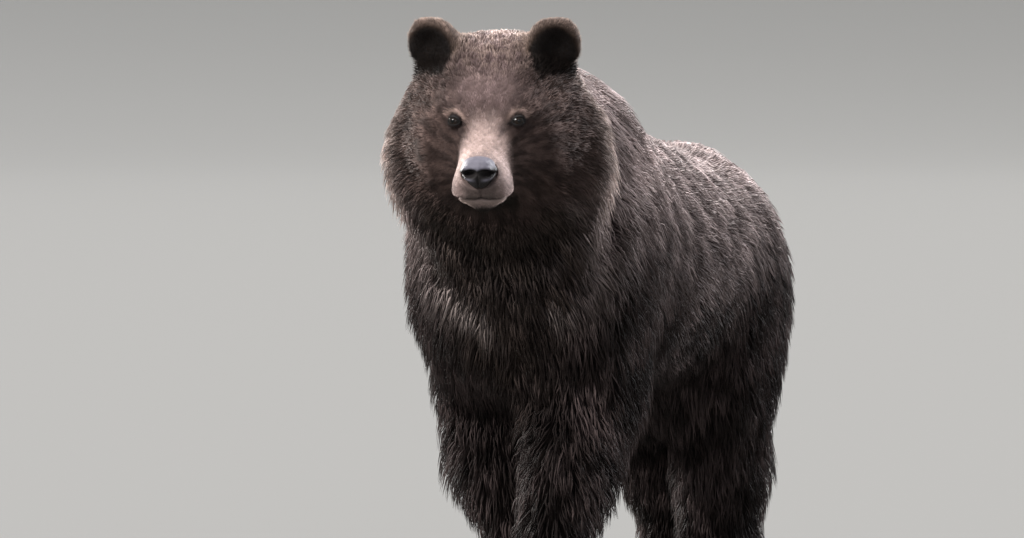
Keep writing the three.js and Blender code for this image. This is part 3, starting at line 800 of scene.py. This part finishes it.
def lie_of_coat(points, normals, shares, net):
    """Which way the hair lies: back from the nose, out over the cheeks, along the body and down the legs."""
    x, y, z, away = in_head(points)
    from_nose = unit(points - NOSE)
    outward = ACROSS * np.sign(x)[:, None]
    cheek = ease(0.03, 0.16, y) * ease(0.06, -0.02, z)
    head = from_nose + outward * (0.9 * cheek)[:, None] - UP * (0.7 * cheek)[:, None]
    ear_base = np.where((x > 0)[:, None], from_head(0.1, 0.13, 0.055), from_head(-0.1, 0.13, 0.055))
    ways = {
        "head": head,
        "ears": unit(points - ear_base),
        "neck": unit(BACKWARD * 0.75 - UP * 0.75 + outward * (0.25 * (away > 0.05))[:, None]),
        "trunk": unit(BACKWARD - UP * 0.62),
        "forelegs": unit(BACKWARD * 0.3 - UP),
        "hindlegs": unit(BACKWARD * 0.22 - UP),
        "paws": unit(-BACKWARD * 0.55 - UP * 0.8),
    }
    flow = sum(way * shares[group][:, None] for group, way in ways.items())
    for _ in range(6):
        flow = net.even(flow, 3)
        flow = unit(flow - normals * np.sum(flow * normals, 1, keepdims=True))
    return flow


# ---- the coat


def flat_map(mesh, chosen):
    """An unwrap of the chosen triangles by their own shape: the place on the map of each of their corners."""
    points = points_of(mesh)
    used, corners = np.unique(triangles_of(mesh)[chosen], return_inverse=True)
    part = mesh_of("part", points[used], corners.reshape(-1, 3))
    piece = piece_of("part", part)
    part.uv_layers.new(name="OFBake")
    bpy.ops.object.select_all(action="DESELECT")
    piece.select_set(True)
    bpy.context.view_layer.objects.active = piece
    bpy.ops.object.mode_set(mode="EDIT")
    bpy.ops.mesh.select_all(action="SELECT")
    bpy.ops.uv.smart_project(angle_limit=1.15, island_margin=0.004, scale_to_bounds=True)
    bpy.ops.object.mode_set(mode="OBJECT")
    places = values_of(part.uv_layers[0].uv, "vector", 2)
    bpy.data.objects.remove(piece)
    bpy.data.meshes.remove(part)
    return places.reshape(-1, 3, 2)


def one_in_each_cell(points, cell):
    """Picks points so that no two share a cell of space."""
    places = np.floor(points / cell).astype(np.int64)
    places -= places.min(0)
    most = 4000  # more cells than there are in a row
    key = (places[:, 0] * most + places[:, 1]) * most + places[:, 2]
    return np.unique(key, return_index=True)[1]


def scattered(corners, spacing, rng):
    """Roots spread evenly over triangles: which triangle each is on, and how far to each of its corners."""
    a, b, c = (corners[:, k] for k in range(3))
    area = np.linalg.norm(np.cross(b - a, c - a), axis=1) / 2
    count = int(area.sum() / spacing**2 * 4)
    face = rng.choice(len(area), count, p=area / area.sum())
    u, v = np.sqrt(rng.random(count)), rng.random(count)
    weight = np.stack((1 - u, u * (1 - v), u * v), 1)
    place = np.einsum("nk,nkd->nd", weight, corners[face])
    kept = rng.permutation(one_in_each_cell(place, spacing))
    return face[kept], weight[kept]


def nearest_guides(points, size):
    """For each point the number of the guide that it gathers to."""
    guides = one_in_each_cell(points, size)
    tree = KDTree(len(guides))
    for number in guides:
        tree.insert(Vector(points[number]), int(number))
    tree.balance()
    return np.array([tree.find(Vector(p))[1] for p in points])


LINE_VALUES = ("place", "normal", "flow", "length", "height", "hang")


def centre_line(roots, share):
    """Where each tuft's middle line is at this share of its length."""
    reach = np.sqrt(np.maximum(roots["length"] ** 2 - roots["height"] ** 2, 0))
    rise = roots["height"] * (2 * share - share**2)
    hang = roots["length"] * roots["hang"] * share**2
    place = roots["place"] + roots["flow"] * (reach * share)[:, None]
    return place + roots["normal"] * rise[:, None] - UP * hang[:, None]


def tuft_arrays(roots, rings, gather):
    """Closed pointed tufts: their points, ring by ring to the tip, and how far along and across each is."""
    guide = {name: roots["guide_" + name] for name in LINE_VALUES}
    side = unit(np.cross(roots["normal"], roots["flow"]))
    shares = np.append(np.linspace(0, 1, rings + 1)[:-1] ** 0.85, 1.0)
    rows = []
    for share in shares:
        line = centre_line(roots, share)
        towards = centre_line(guide, share) - line
        line = line + towards * (gather * roots["gather"] * share**1.2)[:, None]
        curl = np.sin(2 * math.pi * (1.1 * share + roots["turn"])) * share * roots["curl"]
        line = line + side * curl[:, None] - roots["normal"] * (ROOT_DEPTH * (share == 0))
        if share < 1:
            width = roots["width"] * (1 - 0.35 * share) / 2
            rows.append(line - side * width[:, None])
            rows.append(line + side * width[:, None])
            rows.append(line + roots["normal"] * (width * 0.7)[:, None])
    rows.append(line)
    along = np.append(np.repeat(shares[:-1], 3), 1.0)
    across = np.append(np.tile((-0.5, 0.5, 0.0), rings), 0.0)
    points = np.stack(rows, 1)
    points[..., 2] = np.maximum(points[..., 2], LOWEST_TUFT)
    return points, along, across


def tuft_faces(rings):
    """The triangles of one tuft: the cap at its root, its three sides and its point."""
    faces = [(0, 2, 1)]
    for ring in range(rings - 1):
        low = ring * 3
        for a, b in ((0, 1), (1, 2), (2, 0)):
            faces.append((low + a, low + b, low + b + 3))
            faces.append((low + a, low + b + 3, low + a + 3))
    last = (rings - 1) * 3
    faces += [(last + a, last + b, rings * 3) for a, b in ((0, 1), (1, 2), (2, 0))]
    return np.array(faces)


def coat_piece(title, roots, rings, gather, material):
    """One mesh of tufts, with the values that its finish reads and its map."""
    points, along, across = tuft_arrays(roots, rings, gather)
    count, size = points.shape[:2]
    faces = tuft_faces(rings)
    triangles = (np.arange(count)[:, None, None] * size + faces).reshape(-1, 3)
    mesh = mesh_of(title, points.reshape(-1, 3), triangles)
    number_layer(mesh, "along", np.tile(along, count))
    number_layer(mesh, "across", np.tile(across, count))
    number_layer(mesh, "shade", np.repeat(roots["shade"], size))
    for name in ("root_colour", "tip_colour"):
        colour_layer(mesh, name, np.repeat(roots[name], size, 0))
    patch = np.stack((across, along - 0.5), 1)[faces] * UV_PATCH
    patch[0, :, 1] += (0, -UV_PATCH / 4, 0)
    places = roots["uv"][:, None, None] + patch
    uv_map = mesh.uv_layers.new(name="OFBake", do_init=False)
    uv_map.uv.foreach_set("vector", np.clip(places, 0, 1).astype(np.float32).ravel())
    piece = bear_piece(title, mesh, material)


def coat_zones(shares, points):
    """For each point which coat of COATS it wears."""
    from_nose = distances(points, NOSE)
    head = shares["head"]
    scores = dict(
        shares,
        muzzle=head * (from_nose < MUZZLE_REACH),
        face=head * (from_nose >= MUZZLE_REACH) * (from_nose < FACE_REACH),
        cheeks=head * (from_nose >= FACE_REACH),
        legs=shares["forelegs"] + shares["hindlegs"],
    )
    return np.argmax(np.stack([scores[name] for name in COATS], 1), 1)


def at_roots(field, corner, weight):
    """A field's value at each root, from the corners of its triangle."""
    return np.einsum("nk,nk...->n...", weight, field[corner])


def kept_roots(fields, corner, weight):
    """Which roots are on hairy skin, and not on the lids, the lips, the nose or the soles."""
    place = at_roots(fields["place"], corner, weight)
    facing = at_roots(fields["normal"], corner, weight)[:, 2]
    bare = at_roots(fields["bare"], corner, weight)
    off_sole = (place[:, 2] > SOLE_HEIGHT) | (facing > -0.2)
    off_nose = distances(place, NOSE) > 0.03
    return (bare < 0.35) & off_sole & off_nose


def roots_of(fields, corner, weight, place_on_map, layer, clump, rng):
    """The tufts of one layer of a coat: where each stands, how it lies, its sizes and its colours."""
    names = ("place", "normal", "flow", "root_colour", "tip_colour")
    roots = {name: at_roots(fields[name], corner, weight) for name in names}
    roots["uv"] = place_on_map
    length = at_roots(fields["length"], corner, weight) * layer.length
    count = len(length)
    roots["normal"] = unit(roots["normal"])
    side = np.cross(roots["normal"], roots["flow"])
    roots["flow"] = unit(roots["flow"] + side * rng.normal(0, 0.2, (count, 1)))
    roots["length"] = length * rng.uniform(0.7, 1.14, count)
    roots["height"] = coat_depth(length, roots["place"]) * rng.uniform(0.72, 1.12, count)
    roots["width"] = (0.0007 + 0.042 * length) * layer.width * rng.uniform(0.75, 1.25, count)
    roots["hang"] = 0.08 + 0.14 * ease(0.02, 0.06, length)
    roots["gather"] = rng.uniform(0.4, 1.2, count)
    roots["turn"] = rng.random(count)
    roots["curl"] = length * 0.05
    guide = nearest_guides(roots["place"], clump)
    roots["shade"] = 0.6 * rng.random(count)[guide] + 0.4 * rng.random(count)
    for name in LINE_VALUES:
        roots["guide_" + name] = roots[name][guide]
    return roots


def grow_coat(skin, fields, material):
    """All the tufts, as a piece or a few for each coat, each with an even share of a layer's tufts."""
    triangles = triangles_of(skin)
    zone_of_face = coat_zones(fields["shares"], fields["place"])[triangles[:, 0]]
    for number, (name, coat) in enumerate(COATS.items()):
        chosen = zone_of_face == number
        flat = flat_map(skin, chosen)
        own = triangles[chosen]
        made = []
        for layer in coat.layers:
            rng = np.random.default_rng(SEED + number)
            face, weight = scattered(fields["place"][own], layer.spacing, rng)
            keep = kept_roots(fields, own[face], weight)
            face, weight = face[keep], weight[keep]
            place_on_map = np.einsum("nk,nkd->nd", weight, flat[face])
            roots = roots_of(fields, own[face], weight, place_on_map, layer, coat.clump, rng)
            pieces = math.ceil(len(face) * len(tuft_faces(layer.rings)) / MOST_TRIANGLES)
            for part in range(pieces):
                share = {name: values[part::pieces] for name, values in roots.items()}
                made.append((share, layer.rings))
        for count, (roots, rings) in enumerate(made):
            title = f"coat_{name}" if len(made) == 1 else f"coat_{name}_{count + 1}"
            coat_piece(title, roots, rings, coat.gather, material)


# ---- finishes


class Wire:
    """A socket in a material's nodes, with the arithmetic that adds Math nodes."""

    def __init__(self, finish, socket):
        self.finish = finish
        self.socket = socket

    def math(self, operation, *values):
        return self.finish.node("ShaderNodeMath", {"operation": operation}, dict(enumerate(values)))

    def __add__(self, other):
        return self.math("ADD", self, other)

    def __mul__(self, other):
        return self.math("MULTIPLY", self, other)

    def __pow__(self, other):
        return self.math("POWER", self, other)

    __radd__ = __add__
    __rmul__ = __mul__


class Finish:
    """A material with one Principled BSDF."""

    def __init__(self, name, fixed):
        self.material = bpy.data.materials.new(name)
        self.material.use_nodes = True
        self.tree = self.material.node_tree
        self.shader = self.tree.nodes["Principled BSDF"]
        for socket, value in fixed.items():
            self.shader.inputs[socket].default_value = value

    def node(self, kind, settings=None, values=None, output=0):
        made = self.tree.nodes.new(kind)
        for name, value in (settings or {}).items():
            if name == "stops":
                set_stops(made.color_ramp, value)
            else:
                setattr(made, name, value)
        for socket, value in (values or {}).items():
            if isinstance(value, Wire):
                self.tree.links.new(value.socket, made.inputs[socket])
            else:
                made.inputs[socket].default_value = value
        return Wire(self, made.outputs[output])

    def attribute(self, name, output="Fac"):
        return self.node("ShaderNodeAttribute", {"attribute_name": name}, output=output)

    def places(self, centre=(0, 0, 0), scale=(1, 1, 1)):
        """Object coordinates, centred on a point and stretched."""
        own = self.node("ShaderNodeTexCoord", output="Object")
        location = tuple(-c * s for c, s in zip(centre, scale))
        return self.node("ShaderNodeMapping", {}, {"Vector": own, "Location": location, "Scale": scale})

    def noise(self, vector, scale, detail=3.0):
        return self.node("ShaderNodeTexNoise", {}, {"Vector": vector, "Scale": scale, "Detail": detail})

    def blend(self, share, a, b):
        """Two colours mixed."""
        return self.node("ShaderNodeMix", {"data_type": "RGBA"}, {0: share, 6: a, 7: b}, output=2)

    def scaled(self, colour, by):
        return self.node("ShaderNodeVectorMath", {"operation": "SCALE"}, {0: colour, "Scale": by})

    def ramp(self, value, stops):
        return self.node("ShaderNodeValToRGB", {"stops": stops}, {0: value})

    def feed(self, socket, wire):
        self.tree.links.new(wire.socket, self.shader.inputs[socket])

    def bump(self, height, distance, strength=1.0):
        values = {"Height": height, "Distance": distance, "Strength": strength}
        self.feed("Normal", self.node("ShaderNodeBump", {}, values))


def set_stops(ramp, stops):
    while len(ramp.elements) < len(stops):
        ramp.elements.new(0.5)
    for element, (place, colour) in zip(ramp.elements, stops):
        element.position = place
        element.color = (*colour, 1)


def hair_finish():
    """Tufts of hair: each goes from its root's colour to its tip's, with finer strands drawn along it."""
    fur = Finish("bear_hair", {"Roughness": 0.75, "Specular IOR Level": 0.1})
    along = fur.attribute("along")
    across = fur.attribute("across")
    shade = fur.attribute("shade")
    strand_place = fur.node(
        "ShaderNodeCombineXYZ", {}, {0: across * 9 + shade * 80, 1: along * 1.5, 2: shade * 31}
    )
    strands = fur.noise(strand_place, 1.0, 2.0)
    root = fur.attribute("root_colour", "Color")
    tip = fur.attribute("tip_colour", "Color")
    colour = fur.blend((along**1.2) * (0.4 + shade * 0.6), root, tip)
    lightness = (0.62 + shade * 0.65) * (0.66 + strands * 0.7)
    fur.feed("Base Color", fur.scaled(colour, lightness))
    fur.bump(strands, 0.0004, 0.5)
    return fur.material


def skin_finish():
    """The hide, in the colours of the coat above it, roughened as by very short hair."""
    hide = Finish("bear_hide", {"Roughness": 0.8, "Specular IOR Level": 0.25})
    place = hide.places()
    fine = hide.noise(place, 900.0, 4.0)
    broad = hide.noise(place, 60.0, 3.0)
    colour = hide.attribute("root_colour", "Color")
    hide.feed("Base Color", hide.scaled(colour, 0.55 + fine * 0.45 + broad * 0.35))
    hide.bump(fine, 0.0006, 0.6)
    return hide.material


def nose_finish():
    """Black leather with a fine pebbled grain, bluish grey on its upper side: partly paler dry leather,
    partly a painted sheen from the light above.
    """
    leather = Finish("nose_leather", {"Specular IOR Level": 0.18})
    place = leather.places()
    pebbles = leather.node(
        "ShaderNodeTexVoronoi", {"feature": "DISTANCE_TO_EDGE"}, {"Vector": place, "Scale": 620.0}
    )
    cloud = leather.noise(place, 70.0)
    dark = (0.011, 0.009, 0.009, 1)
    # The bluish grey of the upper side: partly dry leather, partly a painted sheen from the light above.
    grey = (0.115, 0.109, 0.134, 1)
    leather.feed("Base Color", leather.blend(leather.attribute("dryness") * (0.7 + cloud * 0.5), dark, grey))
    leather.feed("Roughness", 0.46 + cloud * 0.2)
    leather.bump(pebbles, 0.0007, 0.7)
    return leather.material


def eye_finish(side):
    """A dark brown iris round a black pupil, under a clear wet front."""
    eye = Finish("eye_" + side + "_finish", {"Roughness": 0.12, "Specular IOR Level": 0.22})
    gaze = eye_axes(side)[:, 2]
    front = EYES[side] + gaze * EYE_RADIUS
    place = eye.places(tuple(front))
    distance = eye.node("ShaderNodeVectorMath", {"operation": "LENGTH"}, {0: place}, output="Value")
    streaks = eye.noise(place, 700.0, 2.0)
    stops = (
        (0.0, (0.002, 0.002, 0.002)),
        (0.26, (0.002, 0.002, 0.002)),
        (0.32, (0.01, 0.006, 0.004)),
        (0.6, (0.008, 0.005, 0.003)),
        (0.68, (0.004, 0.003, 0.003)),
        (1.0, (0.01, 0.008, 0.007)),
    )
    rings = eye.ramp(distance * (1 / EYE_RADIUS), stops)
    eye.feed("Base Color", eye.scaled(rings, 0.6 + streaks * 0.8))
    return eye.material


def claw_finish():
    """Dark horn, streaked along its length and a little paler in places."""
    horn = Finish("claw_horn", {"Specular IOR Level": 0.25})
    place = horn.places(scale=(1, 0.25, 1))
    streaks = horn.noise(place, 320.0, 4.0)
    colour = horn.blend(streaks, (0.018, 0.013, 0.01, 1), (0.095, 0.07, 0.05, 1))
    horn.feed("Base Color", colour)
    horn.feed("Roughness", 0.42 + streaks * 0.25)
    horn.bump(streaks, 0.0004, 0.5)
    return horn.material


# ---- eyes, nose and claws


def make_eye(side, material):
    """The eyeball, with its clear front standing a little proud."""
    shape = bmesh.new()
    bmesh.ops.create_icosphere(shape, subdivisions=5, radius=EYE_RADIUS)
    gaze = Vector(eye_axes(side)[:, 2])
    for v in shape.verts:
        facing = max(0.0, v.co.normalized().dot(gaze))
        v.co *= 1 + 0.05 * max(0.0, (facing - 0.8) / 0.2) ** 0.8
        v.co += Vector(EYES[side])
    name = "eyeball_" + side
    piece = bear_piece(name, mesh_from(name, shape), material)
    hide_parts("eye_" + side)


def make_nose(material):
    """The nose pad: two comma-shaped nostrils, the folds round them and the groove between."""
    mesh = remeshed("nose_pad", joined_copy(("nose",)), NOSE_VOXEL)
    net = Net(mesh)
    points = net.fair(points_of(mesh), 14, 0.9)
    triangles = triangles_of(mesh)
    normals = vertex_normals(points, triangles)
    x, y, z = ((points - NOSE) @ HEAD_AXES).T
    away = np.abs(x)
    front = ease(0.01, -0.006, y)
    slant = z - 0.004 + 0.22 * (away - 0.014)
    hole = np.exp(-((((away - 0.0145) / 0.0115) ** 2 + (slant / 0.007) ** 2) ** 1.5))
    tail = np.exp(-((((away - 0.0265) / 0.0115) ** 2 + ((slant + 0.0012) / 0.0042) ** 2) ** 1.2))
    fold = hill((away, 0.016, 0.01), (z, -0.0085, 0.0034))
    roof = hill((away, 0.015, 0.015), (z, 0.0125, 0.004))
    groove = hill((x, 0, 0.0017)) * ease(0.011, -0.002, z)
    change = 0.0024 * fold + 0.0016 * roof - 0.0028 * groove
    points = points + normals * (change * front)[:, None]
    points = points + HEAD_BACK * ((0.017 * hole + 0.0085 * tail) * front)[:, None]
    narrowing = 0.2 * ease(0.004, 0.017, z) + 0.24 * ease(-0.005, -0.017, z)
    points = points - ACROSS * (x * narrowing * ease(0.014, -0.004, y))[:, None]
    move_points(mesh, net.even(points, 1, 0.3))
    # Paler on the upper side, partly dry leather and partly a painted sheen from the light above, and paler
    # on the folds under the nostrils.
    dry_and_sheen = ease(0.007, 0.015, z) + 0.75 * fold * front * ease(0.003, 0.006, away)
    number_layer(mesh, "dryness", np.clip(dry_and_sheen - hole - tail, 0, 1))
    piece = bear_piece("nose_pad", mesh, material)
    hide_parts("nose")


def make_claws(foot, material):
    """The five claws of one foot, each rounded from its solid and drawn a little into its toe."""
    names = claws_of(foot)
    mesh = mesh_from("claws_" + foot, joined_copy(names))
    points = points_of(mesh)
    first = FEET.index(foot) * CLAWS
    centre = middle(foot.replace("_", "paw_"))
    for root in CLAW_ROOTS[first : first + CLAWS]:
        inward = unit(centre * (1, 1, 0) - root * (1, 1, 0))
        at_root = ease(0.012, 0.004, distances(points, root))
        points = points + inward * (0.007 * at_root)[:, None]
    move_points(mesh, points)
    piece = bear_piece("claws_" + foot, mesh, material)
    modifier = piece.modifiers.new("rounded", "SUBSURF")
    modifier.levels = 1
    modifier.render_levels = 1
    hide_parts(*names)


# ---- studio


FLOOR_RADIUS = 30.0  # of its level part
FLOOR_BEND = 30.0  # the radius of the curve round it
FLOOR_RISE = math.radians(35)  # how far that curve turns up
FLOOR_STEPS = 12
FLOOR_SIDES = 96


def make_floor():
    """A floor that curves up far off all round, so that no edge shows."""
    profile = [(0.01, 0.0), (FLOOR_RADIUS, 0.0)]
    for step in range(1, FLOOR_STEPS + 1):
        angle = FLOOR_RISE * step / FLOOR_STEPS
        profile.append((FLOOR_RADIUS + FLOOR_BEND * math.sin(angle), FLOOR_BEND * (1 - math.cos(angle))))
    turns = [2 * math.pi * k / FLOOR_SIDES for k in range(FLOOR_SIDES)]
    shape = bmesh.new()
    rings = []
    for radius, height in profile:
        rings.append([shape.verts.new((radius * math.cos(t), radius * math.sin(t), height)) for t in turns])
    for low, high in zip(rings, rings[1:]):
        for k in range(FLOOR_SIDES):
            after = (k + 1) % FLOOR_SIDES
            shape.faces.new((low[k], high[k], high[after], low[after]))
    shape.faces.new(rings[0])
    mesh = mesh_from("floor", shape)
    mesh.shade_smooth()
    fixed = {"Roughness": 1.0, "Specular IOR Level": 0.0, "Base Color": (0.11, 0.11, 0.108, 1)}
    mesh.materials.append(Finish("studio_floor", fixed).material)
    piece_of("floor", mesh)


def soft_light(name, place, softness, strength, colour):
    """An even light over the whole studio, as from a wide lamp far off in this direction from the bear."""
    light = bpy.data.lights.new(name, "SUN")
    light.angle = math.radians(softness)
    light.energy = strength
    light.color = colour
    lamp = bpy.data.objects.new(name, light)
    lamp.location = place
    lamp.rotation_mode = "QUATERNION"
    lamp.rotation_quaternion = Vector(place).to_track_quat("Z", "Y")
    bpy.context.scene.collection.objects.link(lamp)


def make_lights():
    """A key light from the bear's right, weak fill, and strong lights behind that rim the coat."""
    soft_light("key", (-3.7, -5.8, 4.2), 14, 4.3, (1.0, 0.97, 0.94))
    soft_light("fill", (3.6, -6.5, 1.8), 30, 0.5, (0.86, 0.9, 1.0))
    soft_light("top", (-0.4, 0.2, 6.0), 20, 3.6, (1.0, 0.98, 0.96))
    soft_light("back", (-0.8, 7.9, 4.2), 12, 10.0, (1.0, 0.97, 0.94))
    soft_light("rim_left", (-7.4, 5.2, 2.0), 12, 7.0, (1.0, 0.96, 0.92))
    soft_light("rim_right", (4.4, 7.0, 3.0), 12, 5.5, (0.96, 0.97, 1.0))
    world = bpy.data.worlds.new("studio")
    world.use_nodes = True
    sky = world.node_tree.nodes["Background"]
    sky.inputs["Color"].default_value = (0.92, 0.95, 1.0, 1)
    sky.inputs["Strength"].default_value = 0.62
    bpy.context.scene.world = world
    bpy.context.scene.view_settings.view_transform = "Standard"


CAMERA_AZIMUTH = math.radians(17.5)
CAMERA_ELEVATION = math.radians(2.7)
CAMERA_DISTANCE = 9.2
CAMERA_LENS = 179.65
CAMERA_SHIFT = 0.0239
AIM_BELOW_EYES = 0.263
AIM_BEHIND_EYES = 0.014


def make_camera():
    """A long lens from a little to the bear's left, at about its own height."""
    data = bpy.data.cameras.new("camera")
    data.lens = CAMERA_LENS
    data.sensor_width = 36
    data.shift_x = CAMERA_SHIFT
    data.clip_end = 200
    target = Vector(BETWEEN_EYES + HEAD_BACK * AIM_BEHIND_EYES)
    target.z = BETWEEN_EYES[2] - AIM_BELOW_EYES
    level = math.cos(CAMERA_ELEVATION)
    across, ahead = math.sin(CAMERA_AZIMUTH) * level, -math.cos(CAMERA_AZIMUTH) * level
    back = Vector((across, ahead, math.sin(CAMERA_ELEVATION)))
    camera = bpy.data.objects.new("camera", data)
    camera.location = target + back * CAMERA_DISTANCE
    camera.rotation_mode = "QUATERNION"
    camera.rotation_quaternion = (-back).to_track_quat("-Z", "Y")
    bpy.context.scene.collection.objects.link(camera)
    bpy.context.scene.camera = camera


# ---- the whole bear


def coat_fields(skin):
    """What the tufts need to know at each point of the skin."""
    net = Net(skin)
    points = points_of(skin)
    normals = vertex_normals(points, triangles_of(skin))
    shares = shares_of(points, net)
    root, tip, bare = colours_of(points, normals, shares)
    return {
        "place": points,
        "normal": normals,
        "shares": shares,
        "root_colour": root,
        "tip_colour": tip,
        "bare": bare,
        "length": coat_length(points, shares),
        "flow": lie_of_coat(points, normals, shares, net),
    }


def build():
    """Makes the bear: its skin and coat, and then its eyes, nose and claws."""
    skin = make_skin()
    fields = coat_fields(skin)
    grow_coat(skin, fields, hair_finish())
    colour_layer(skin, "root_colour", fields["root_colour"])
    piece = bear_piece("skin", skin, skin_finish())
    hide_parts(*FLESH)
    for side in SIDES:
        make_eye(side, eye_finish(side))
    make_nose(nose_finish())
    horn = claw_finish()
    for foot in FEET:
        make_claws(foot, horn)


build()
make_floor()
make_lights()
make_camera()
